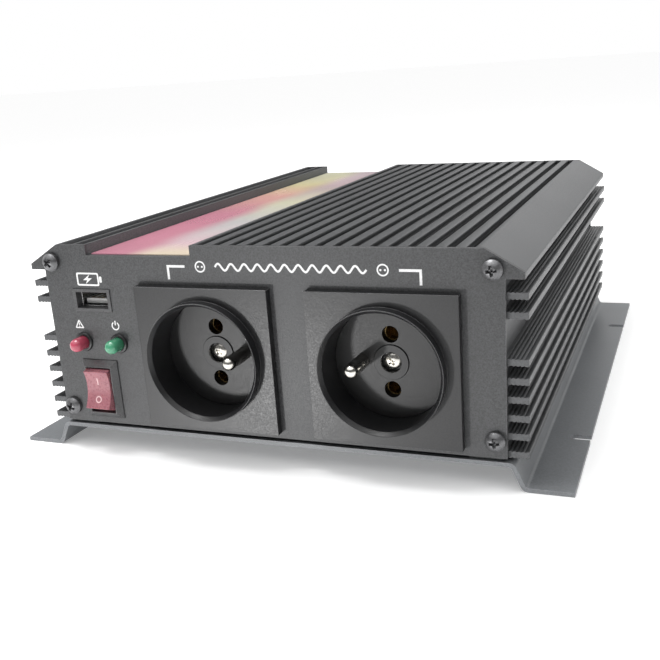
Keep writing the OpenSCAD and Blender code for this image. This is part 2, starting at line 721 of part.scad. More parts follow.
module knob() difference() {
  union() {
    rod_y(knob_r - 0.7, knob_y, knob_y + knob_t);
    rod_y(knob_r, knob_y, knob_y + 2);
    for (i = [0 : 11]) rotate([0, 30 * i, 0]) rod_y(1.5, knob_y + 1, knob_y + knob_t - 1, knob_r - 1.4, 0);
  }
  rod_y(stud_r + 0.05, knob_y - 1, knob_y + knob_t + 1);
}
module positive_knob() place_post(positive_x) color([0.75, 0.1, 0.1]) knob();
module negative_knob() place_post(negative_x) color([0.1, 0.1, 0.1]) knob();

module ground_stud() in_case() translate([ground_x, 0, ground_z]) color([0.8, 0.66, 0.35]) {
  rod_y(2.5, shell_y1 - 5, rear_y + 14);
  translate([0, shell_y1 - 4, 0]) rotate([-90, 0, 0]) cylinder(r = 4.6, h = 4, $fn = 6);
  translate([0, rear_y, 0]) rotate([-90, 0, 0]) cylinder(r = 5, h = 1);
  translate([0, rear_y + 0.9, 0]) rotate([-90, 0, 0]) cylinder(r = 4.6, h = 4.1, $fn = 6);
}

housing();
base_plate();
front_panel();
rear_panel();
top_label();
panel_screws();
small_screws();
left_outlet_body();
right_outlet_body();
left_outlet_insert();
right_outlet_insert();
left_earth_pin();
right_earth_pin();
outlet_screws();
left_contacts();
right_contacts();
switch_frame();
rocker();
switch_terminals();
fault_lamp();
power_lamp();
lamp_collars();
lamp_board();
usb_frame();
usb_shell();
usb_tongue();
usb_board();
main_board();
standoffs();
control_board();
live_wires();
neutral_wires();
earth_wires();
transformer_cores();
transformer_windings();
input_capacitors();
bus_capacitors();
film_capacitor();
choke_core();
choke_winding();
transistors();
insulating_strips();
clamp_bars();
fuses();
fan_frame();
fan_stator();
fan_rotor();
fan_grille();
fan_screws();
positive_insulator();
negative_insulator();
inner_insulators();
post_studs();
stud_nuts();
busbars();
positive_washer();
negative_washer();
positive_knob();
negative_knob();
ground_stud();
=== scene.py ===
import math

import bmesh
import bpy
from mathutils import Euler, Matrix, Vector


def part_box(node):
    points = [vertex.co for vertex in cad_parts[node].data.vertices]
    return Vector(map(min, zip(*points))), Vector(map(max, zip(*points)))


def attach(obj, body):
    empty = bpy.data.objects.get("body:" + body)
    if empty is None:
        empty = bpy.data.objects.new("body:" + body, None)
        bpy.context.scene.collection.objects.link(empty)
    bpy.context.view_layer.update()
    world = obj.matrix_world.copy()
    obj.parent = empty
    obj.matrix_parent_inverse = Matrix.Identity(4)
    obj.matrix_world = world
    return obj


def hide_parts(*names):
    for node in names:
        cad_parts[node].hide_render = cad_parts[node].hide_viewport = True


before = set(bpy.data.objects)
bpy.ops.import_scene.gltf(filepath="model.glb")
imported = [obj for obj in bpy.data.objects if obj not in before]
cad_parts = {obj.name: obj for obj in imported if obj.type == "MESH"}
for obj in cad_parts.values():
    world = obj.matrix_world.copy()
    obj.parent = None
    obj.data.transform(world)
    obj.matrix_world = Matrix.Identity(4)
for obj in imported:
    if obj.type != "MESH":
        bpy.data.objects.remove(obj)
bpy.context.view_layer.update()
scene = bpy.context.scene
scene.view_settings.view_transform = "Standard"

# Shapes are drawn in millimetres in the case's own frame: x across, y back from the front panel's face,
# z up from the front panel's lower edge. toRow brings them to metres in the shared frame.
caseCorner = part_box("front_panel")[0]
toRow = Matrix.Translation((0, caseCorner.y, caseCorner.z)) @ Matrix.Scale(0.001, 4)


# Camera, floor and lights

viewLook = {
    "place": (0.135103, -0.381662, 0.131179),
    "turn": (73.1787, 3.7251, 20.9606),
    "lens": 48.875,
    "shift": (-0.0195, 0.0159),
    "floorColour": (0.93, 0.93, 0.93),
    "floorHalf": 40.0,
    "floorGlow": 0.2,       # keeps the far floor as white as the near one
    "worldSeen": 1.0,       # brightness behind the object
    "worldFelt": 0.13,      # brightness that lights it
}

lightLook = {
    # name: place, aimed at, width, height, watts
    "lowKey": ((-0.20, -0.545, -0.135), (0, -0.12, 0.04), 0.05, 0.05, 0.8),
    "topSoft": ((-0.2, -0.1, 0.8), (0, 0, 0.05), 0.35, 0.35, 4.6),
    "rightFill": ((1.1, 0.35, 0.3), (0.1, 0, 0.03), 0.6, 0.4, 3.4),
    "backFill": ((0.2, 1.2, 0.5), (0, 0.1, 0.05), 0.9, 0.6, 2),
    "leftFill": ((-1.1, 0.1, 0.4), (-0.1, 0, 0.03), 0.6, 0.6, 1.6),
}
skyLook = {"strength": 2.4, "spread": 95, "lean": (8, -6)}    # one very soft light from above


def buildView():
    cameraData = bpy.data.cameras.new("productCamera")
    cameraData.lens = viewLook["lens"]
    cameraData.shift_x, cameraData.shift_y = viewLook["shift"]
    cameraData.clip_start = 0.01
    camera = bpy.data.objects.new("productCamera", cameraData)
    camera.location = viewLook["place"]
    camera.rotation_euler = Euler([math.radians(a) for a in viewLook["turn"]])
    scene.collection.objects.link(camera)
    scene.camera = camera

    for name, (place, aim, width, height, watts) in lightLook.items():
        data = bpy.data.lights.new(name, "AREA")
        data.shape = "RECTANGLE"
        data.size = width
        data.size_y = height
        data.energy = watts
        lamp = bpy.data.objects.new(name, data)
        lamp.location = place
        lamp.rotation_euler = (Vector(aim) - Vector(place)).to_track_quat("-Z", "Y").to_euler()
        scene.collection.objects.link(lamp)

    sky = bpy.data.lights.new("softSky", "SUN")
    sky.energy = skyLook["strength"]
    sky.angle = math.radians(skyLook["spread"])
    overhead = bpy.data.objects.new("softSky", sky)
    overhead.rotation_euler = Euler([math.radians(a) for a in (*skyLook["lean"], 0)])
    scene.collection.objects.link(overhead)

    world = bpy.data.worlds.new("studio")
    world.use_nodes = True
    tree = world.node_tree
    seen = tree.nodes.new("ShaderNodeLightPath").outputs["Is Camera Ray"]
    strength = addNode(tree, "ShaderNodeMapRange", {
        "Value": seen, "To Min": viewLook["worldFelt"], "To Max": viewLook["worldSeen"]})
    tree.links.new(strength.outputs[0], tree.nodes["Background"].inputs["Strength"])
    tree.nodes["Background"].inputs["Color"].default_value = (1, 1, 1, 1)
    scene.world = world

    floorMesh = bpy.data.meshes.new("studioFloor")
    half = viewLook["floorHalf"]
    corners = [(-half, -half, 0), (half, -half, 0), (half, half, 0), (-half, half, 0)]
    floorMesh.from_pydata(corners, [], [(0, 1, 2, 3)])
    floor = bpy.data.objects.new("studioFloor", floorMesh)
    scene.collection.objects.link(floor)
    floor.visible_shadow = False      # lets the low key light reach the front from under the table top
    paper = bpy.data.materials.new("paperFloor")
    paper.use_nodes = True
    shader = paper.node_tree.nodes["Principled BSDF"]
    shader.inputs["Base Color"].default_value = (*viewLook["floorColour"], 1)
    shader.inputs["Roughness"].default_value = 0.8
    shader.inputs["Emission Color"].default_value = (1, 1, 1, 1)
    shader.inputs["Emission Strength"].default_value = viewLook["floorGlow"]
    floor.data.materials.append(paper)


# Node and mesh helpers

def addNode(tree, kind, inputs=None, **settings):
    node = tree.nodes.new(kind)
    for key, value in settings.items():
        setattr(node, key, value)
    for key, value in (inputs or {}).items():
        if isinstance(value, bpy.types.NodeSocket):
            tree.links.new(value, node.inputs[key])
        else:
            node.inputs[key].default_value = value
    return node


def mixColours(tree, factor, first, second, blend="MIX"):
    node = tree.nodes.new("ShaderNodeMix")
    node.data_type = "RGBA"
    node.blend_type = blend
    for socket, value in ((node.inputs[0], factor), (node.inputs[6], first), (node.inputs[7], second)):
        if isinstance(value, bpy.types.NodeSocket):
            tree.links.new(value, socket)
        else:
            socket.default_value = value
    return node.outputs[2]


def shade(colour, amount):
    return (*[min(1.0, c * amount) for c in colour], 1)


def smoothMesh(mesh, angle=35):
    mesh.polygons.foreach_set("use_smooth", [True] * len(mesh.polygons))
    mesh.set_sharp_from_angle(angle=math.radians(angle))
    mesh.update()
    return mesh


def runModifiers(piece):
    piece.update_tag()
    depsgraph = bpy.context.evaluated_depsgraph_get()
    depsgraph.update()
    mesh = bpy.data.meshes.new_from_object(piece.evaluated_get(depsgraph))
    bpy.data.objects.remove(piece)
    return mesh


def meshFrom(work, name):
    mesh = bpy.data.meshes.new(name)
    work.to_mesh(mesh)
    work.free()
    return mesh


def looseObject(name, data):
    piece = bpy.data.objects.new(name, data)
    scene.collection.objects.link(piece)
    return piece


def addPiece(name, mesh, finish, body="case", replaced=(), inMillimetres=True, angle=35):
    if inMillimetres:
        mesh.transform(toRow)
    mesh.materials.clear()
    mesh.materials.append(finish)
    smoothMesh(mesh, angle)
    mesh.name = name
    piece = looseObject(name, mesh)
    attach(piece, body)
    if replaced:
        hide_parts(*replaced)
    return piece


def softCopy(node, finish, edge=0.3, segments=2, body="case", name=None, angle=30):
    # a CAD node's shape with its edges rounded over
    work = bmesh.new()
    work.from_mesh(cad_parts[node].data)
    bmesh.ops.remove_doubles(work, verts=work.verts, dist=2e-6)
    bmesh.ops.dissolve_limit(work, angle_limit=math.radians(0.6), verts=work.verts, edges=work.edges)
    mesh = meshFrom(work, node + "Copy")
    piece = looseObject(node + "Work", mesh)
    bevel = piece.modifiers.new("edges", "BEVEL")
    bevel.width = edge * 0.001
    bevel.segments = segments
    bevel.limit_method = "ANGLE"
    bevel.angle_limit = math.radians(angle)
    bevel.use_clamp_overlap = True
    weighted = piece.modifiers.new("flatFaces", "WEIGHTED_NORMAL")
    weighted.keep_sharp = True
    smoothMesh(mesh, 50)
    rounded = runModifiers(piece)
    rounded.materials.clear()
    rounded.materials.append(finish)
    rounded.name = name or node + "Shape"
    shown = looseObject(name or node + "Shape", rounded)
    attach(shown, body)
    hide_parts(node)
    return shown


def joinMeshes(meshes, name):
    work = bmesh.new()
    for mesh in meshes:
        work.from_mesh(mesh)
    return meshFrom(work, name)


def roundedLoop(points, radius, steps=3, keep=0.35):
    # a closed outline with its corners rounded
    rounded = []
    for i, corner in enumerate(points):
        corner = Vector(corner)
        before = Vector(points[i - 1]) - corner
        after = Vector(points[(i + 1) % len(points)]) - corner
        turn = math.pi - before.angle(after)
        if turn < keep:
            rounded.append(corner)
            continue
        reach = min(radius * math.tan(turn / 2), 0.45 * before.length, 0.45 * after.length)
        first = corner + before.normalized() * reach
        last = corner + after.normalized() * reach
        for s in range(steps + 1):
            t = s / steps
            rounded.append(first * (1 - t) ** 2 + corner * (2 * t * (1 - t)) + last * (t * t))
    return rounded


def arcPoints(centre, radius, start, end, steps):
    angles = [math.radians(start + (end - start) * s / steps) for s in range(steps + 1)]
    return [(centre[0] + radius * math.cos(a), centre[1] + radius * math.sin(a)) for a in angles]


def strokeLoop(points, width):
    # the outline of a line drawn through points
    points = [Vector(p) for p in points]
    left, right = [], []
    for i, point in enumerate(points):
        before = (point - points[i - 1]).normalized() if i else None
        after = (points[i + 1] - point).normalized() if i < len(points) - 1 else None
        before = before or after
        after = after or before
        across = Vector((-before.y, before.x)) + Vector((-after.y, after.x))
        across = across * (width / across.length_squared)
        left.append(point + across)
        right.append(point - across)
    return left + right[::-1]


def turned(profile, centre=(0, 0), steps=64, closed=False):
    # a profile of (radius, y) turned about an axis along y
    work = bmesh.new()
    rings = []
    for radius, y in profile:
        count = steps if radius > 1e-6 else 1
        rings.append([work.verts.new((centre[0] + radius * math.cos(2 * math.pi * k / steps), y,
                                      centre[1] + radius * math.sin(2 * math.pi * k / steps)))
                      for k in range(count)])
    pairs = list(zip(rings, rings[1:]))
    if closed:
        pairs.append((rings[-1], rings[0]))
    for first, second in pairs:
        if len(first) == 1 and len(second) == 1:
            continue
        for k in range(steps):
            n = (k + 1) % steps
            corners = [first[k % len(first)], first[n % len(first)], second[n % len(second)],
                       second[k % len(second)]]
            work.faces.new(list(dict.fromkeys(corners)))
    bmesh.ops.recalc_face_normals(work, faces=work.faces)
    return meshFrom(work, "turned")


# Geometry Nodes trees

def newTree(name, inputs):
    tree = bpy.data.node_groups.new(name, "GeometryNodeTree")
    tree.interface.new_socket("Geometry", in_out="INPUT", socket_type="NodeSocketGeometry")
    for label, kind in inputs.items():
        tree.interface.new_socket(label, in_out="INPUT", socket_type=kind)
    tree.interface.new_socket("Geometry", in_out="OUTPUT", socket_type="NodeSocketGeometry")
    return tree, tree.nodes.new("NodeGroupInput").outputs


def endTree(tree, geometry, finish):
    realized = addNode(tree, "GeometryNodeRealizeInstances", {"Geometry": geometry})
    painted = addNode(tree, "GeometryNodeSetMaterial", {"Geometry": realized.outputs[0], "Material": finish})
    addNode(tree, "NodeGroupOutput", {"Geometry": painted.outputs[0]})


def runTree(tree, source, values):
    modifier = source.modifiers.new(tree.name, "NODES")
    modifier.node_group = tree
    for item in tree.interface.items_tree:
        if item.item_type == "SOCKET" and item.in_out == "INPUT" and item.name in values:
            modifier[item.identifier] = values[item.name]
    return runModifiers(source)


def buildSectionTree():
    # closed curves are filled and drawn out into a solid of one depth
    tree, given = newTree("drawnSection", {"Depth": "NodeSocketFloat", "Finish": "NodeSocketMaterial"})
    filled = addNode(tree, "GeometryNodeFillCurve", {"Curve": given["Geometry"]},
                     mode="TRIANGLES").outputs[0]
    pull = addNode(tree, "ShaderNodeCombineXYZ", {"Z": given["Depth"]}).outputs[0]
    pulled = addNode(tree, "GeometryNodeExtrudeMesh", {"Mesh": filled, "Offset": pull, "Offset Scale": 1.0,
                                                       "Individual": False}, mode="FACES").outputs[0]
    under = addNode(tree, "GeometryNodeFlipFaces", {"Mesh": filled}).outputs[0]
    both = addNode(tree, "GeometryNodeJoinGeometry")
    tree.links.new(pulled, both.inputs[0])
    tree.links.new(under, both.inputs[0])
    closed = addNode(tree, "GeometryNodeMergeByDistance",
                     {"Geometry": both.outputs[0], "Distance": 1e-4}).outputs[0]
    endTree(tree, closed, given["Finish"])
    return tree


def buildScrewTree():
    # one screw is set on every point, along the point's facing, with its slot turned at random
    tree, given = newTree("setScrews", {"Screw": "NodeSocketObject", "Finish": "NodeSocketMaterial",
                                        "Seed": "NodeSocketInt"})
    screw = addNode(tree, "GeometryNodeObjectInfo", {"Object": given["Screw"]}).outputs["Geometry"]
    facing = addNode(tree, "GeometryNodeInputNamedAttribute", {"Name": "facing"},
                     data_type="FLOAT_VECTOR").outputs[0]
    aligned = addNode(tree, "FunctionNodeAlignRotationToVector", {"Vector": facing}, axis="Z").outputs[0]
    spin = addNode(tree, "FunctionNodeRandomValue", {"Seed": given["Seed"]}, data_type="FLOAT")
    spin.inputs[2].default_value = 0.0
    spin.inputs[3].default_value = math.pi / 2
    twist = addNode(tree, "FunctionNodeAxisAngleToRotation", {"Angle": spin.outputs[1]}).outputs[0]
    turn = addNode(tree, "FunctionNodeRotateRotation", {"Rotation": aligned, "Rotate By": twist},
                   rotation_space="LOCAL").outputs[0]
    placed = addNode(tree, "GeometryNodeInstanceOnPoints", {"Points": given["Geometry"], "Instance": screw,
                                                           "Rotation": turn}).outputs[0]
    endTree(tree, placed, given["Finish"])
    return tree


def buildAroundTree():
    # one part is repeated in equal steps about an axis along y
    tree, given = newTree("repeatedAround", {"Part": "NodeSocketObject", "Count": "NodeSocketInt",
                                             "Start": "NodeSocketFloat", "Centre": "NodeSocketVector",
                                             "Finish": "NodeSocketMaterial"})
    part = addNode(tree, "GeometryNodeObjectInfo", {"Object": given["Part"]}).outputs["Geometry"]
    points = addNode(tree, "GeometryNodePoints",
                     {"Count": given["Count"], "Position": given["Centre"]}).outputs[0]
    index = addNode(tree, "GeometryNodeInputIndex").outputs[0]
    share = addNode(tree, "ShaderNodeMath", operation="DIVIDE")
    tree.links.new(index, share.inputs[0])
    tree.links.new(given["Count"], share.inputs[1])
    angle = addNode(tree, "ShaderNodeMath", operation="MULTIPLY_ADD")
    tree.links.new(share.outputs[0], angle.inputs[0])
    angle.inputs[1].default_value = 2 * math.pi
    tree.links.new(given["Start"], angle.inputs[2])
    turn = addNode(tree, "ShaderNodeCombineXYZ", {"Y": angle.outputs[0]}).outputs[0]
    rotation = addNode(tree, "FunctionNodeEulerToRotation", {"Euler": turn}).outputs[0]
    placed = addNode(tree, "GeometryNodeInstanceOnPoints", {"Points": points, "Instance": part,
                                                           "Rotation": rotation}).outputs[0]
    endTree(tree, placed, given["Finish"])
    return tree


def buildCableTree():
    # a round wire follows the curve, with its corners rounded and its ends closed
    tree, given = newTree("roundWire", {"Radius": "NodeSocketFloat", "Bend": "NodeSocketFloat",
                                        "Sides": "NodeSocketInt", "Finish": "NodeSocketMaterial"})
    bent = addNode(tree, "GeometryNodeFilletCurve", {"Curve": given["Geometry"], "Radius": given["Bend"],
                                                     "Limit Radius": True, "Count": 6},
                                                     mode="POLY").outputs[0]
    ring = addNode(tree, "GeometryNodeCurvePrimitiveCircle", {"Resolution": given["Sides"],
                                                              "Radius": given["Radius"]}).outputs[0]
    tube = addNode(tree, "GeometryNodeCurveToMesh", {"Curve": bent, "Profile Curve": ring,
                                                     "Fill Caps": True}).outputs[0]
    endTree(tree, tube, given["Finish"])
    return tree


def drawnSolid(loops, y0, y1, finish):
    # outlines in x and z, drawn out from depth y0 to y1
    curve = bpy.data.curves.new("outline", "CURVE")
    curve.dimensions = "3D"
    for loop in loops:
        spline = curve.splines.new("POLY")
        spline.points.add(len(loop) - 1)
        for point, (x, z) in zip(spline.points, loop):
            point.co = (x, z, 0, 1)
        spline.use_cyclic_u = True
    mesh = runTree(sectionTree, looseObject("outline", curve), {"Depth": y1 - y0, "Finish": finish})
    mesh.transform(Matrix.Translation((0, y1, 0)) @ Matrix.Rotation(math.radians(90), 4, "X"))
    work = bmesh.new()
    work.from_mesh(mesh)
    bmesh.ops.recalc_face_normals(work, faces=work.faces)
    return meshFrom(work, "drawn")


def aroundAxis(partMesh, count, centre, finish, start=0.0):
    part = looseObject("aroundPart", partMesh)
    carrier = looseObject("aroundCarrier", bpy.data.meshes.new("carrier"))
    mesh = runTree(aroundTree, carrier, {"Part": part, "Count": count, "Centre": centre, "Start": start,
                                         "Finish": finish})
    bpy.data.objects.remove(part)
    return mesh


def wireMesh(paths, radius, bend, finish, sides=16, cyclic=False):
    curve = bpy.data.curves.new("path", "CURVE")
    curve.dimensions = "3D"
    for path in paths:
        spline = curve.splines.new("POLY")
        spline.points.add(len(path) - 1)
        for point, place in zip(spline.points, path):
            point.co = (*place, 1)
        spline.use_cyclic_u = cyclic
    return runTree(cableTree, looseObject("path", curve), {"Radius": radius, "Bend": bend, "Sides": sides,
                                                           "Finish": finish})


sectionTree = buildSectionTree()
screwTree = buildScrewTree()
aroundTree = buildAroundTree()
cableTree = buildCableTree()
print("node trees ready")


# Finishes. Sizes are in metres, along the object's own axes.

def startFinish(name, colour, metallic=0.0, roughness=0.5, **shaderValues):
    finish = bpy.data.materials.new(name)
    finish.use_nodes = True
    tree = finish.node_tree
    shader = tree.nodes["Principled BSDF"]
    shader.inputs["Base Color"].default_value = (*colour, 1)
    shader.inputs["Metallic"].default_value = metallic
    shader.inputs["Roughness"].default_value = roughness
    for socket, value in shaderValues.items():
        shader.inputs[socket].default_value = value
    finish.diffuse_color = (*colour, 1)
    return finish, tree, shader


def objectNoise(tree, size, stretch=(1, 1, 1), detail=3.0, where=(0, 0, 0)):
    place = addNode(tree, "ShaderNodeTexCoord").outputs["Object"]
    scaled = addNode(tree, "ShaderNodeMapping",
                     {"Vector": place, "Location": where, "Scale": stretch}).outputs[0]
    return addNode(tree, "ShaderNodeTexNoise",
                   {"Vector": scaled, "Scale": 1 / size, "Detail": detail}).outputs[0]


def paintedHighlightMask(tree, radius, low=0.985, high=0.8, upward=False):
    # mask for the painted edge highlight: 1 along edges, 0 on flats; with upward set, only along edges that
    # look up, where the light from above would catch them
    bent = addNode(tree, "ShaderNodeBevel", {"Radius": radius}, samples=4).outputs[0]
    flat = addNode(tree, "ShaderNodeNewGeometry").outputs["Normal"]
    across = addNode(tree, "ShaderNodeVectorMath", operation="DOT_PRODUCT")
    tree.links.new(bent, across.inputs[0])
    tree.links.new(flat, across.inputs[1])
    mask = addNode(tree, "ShaderNodeMapRange", {"Value": across.outputs["Value"], "From Min": low,
                                                "From Max": high}).outputs[0]
    if not upward:
        return mask
    rise = addNode(tree, "ShaderNodeSeparateXYZ", {"Vector": bent}).outputs["Z"]
    above = addNode(tree, "ShaderNodeMapRange", {"Value": rise, "From Min": 0.2, "From Max": 0.6}).outputs[0]
    both = addNode(tree, "ShaderNodeMath", operation="MULTIPLY")
    tree.links.new(mask, both.inputs[0])
    tree.links.new(above, both.inputs[1])
    return both.outputs[0]


def dressedFinish(name, look):
    # a finish with broad clouds, fine grain, a bump from the grain and, where asked for, a painted highlight
    # that lightens the edges
    colour = look["colour"]
    finish, tree, shader = startFinish(name, colour, look.get("metallic", 0.0), look["roughness"],
                                       **look.get("shader", {}))
    stretch = look.get("stretch", (1, 1, 1))
    clouds = objectNoise(tree, look.get("cloudSize", 0.03), look.get("cloudStretch", (1, 1, 1)), 2.0)
    grain = objectNoise(tree, look.get("grainSize", 0.0006), stretch, look.get("grainDetail", 2.0))
    spread = look.get("cloudTone", 0.1)
    cloudy = addNode(tree, "ShaderNodeMapRange",
                     {"Value": clouds, "From Min": 0.3, "From Max": 0.7}).outputs[0]
    tone = mixColours(tree, cloudy, shade(colour, 1 - spread), shade(look.get("second", colour), 1 + spread))
    grainTone = look.get("grainTone", 0.2)
    speck = addNode(tree, "ShaderNodeMapRange", {"Value": grain, "From Min": 0.32, "From Max": 0.68,
                                                 "To Min": 1 - grainTone,
                                                 "To Max": 1 + grainTone}).outputs[0]
    grey = addNode(tree, "ShaderNodeCombineXYZ", {"X": speck, "Y": speck, "Z": speck}).outputs[0]
    tone = mixColours(tree, 1.0, tone, grey, "MULTIPLY")
    # painted highlight: the edges are lightened in the colour, as if their rounding caught the light
    if look.get("paintedHighlightTone"):
        mask = paintedHighlightMask(tree, look.get("paintedHighlightRadius", 0.0004), upward=look.get("paintedHighlightUpward", False))
        share = addNode(tree, "ShaderNodeMath", operation="MULTIPLY")
        tree.links.new(mask, share.inputs[0])
        share.inputs[1].default_value = look.get("paintedHighlightShare", 0.6)
        tone = mixColours(tree, share.outputs[0], tone, (*look["paintedHighlightTone"], 1))
    tree.links.new(tone, shader.inputs["Base Color"])
    rough = addNode(tree, "ShaderNodeMapRange", {
        "Value": grain, "From Min": 0.3, "From Max": 0.7,
        "To Min": look["roughness"] - look.get("roughSpread", 0.06),
        "To Max": look["roughness"] + look.get("roughSpread", 0.06)}).outputs[0]
    tree.links.new(rough, shader.inputs["Roughness"])
    bump = addNode(tree, "ShaderNodeBump", {"Strength": look.get("bumpStrength", 0.4),
                                            "Distance": look.get("bumpDepth", 0.00005), "Height": grain})
    tree.links.new(bump.outputs[0], shader.inputs["Normal"])
    return finish


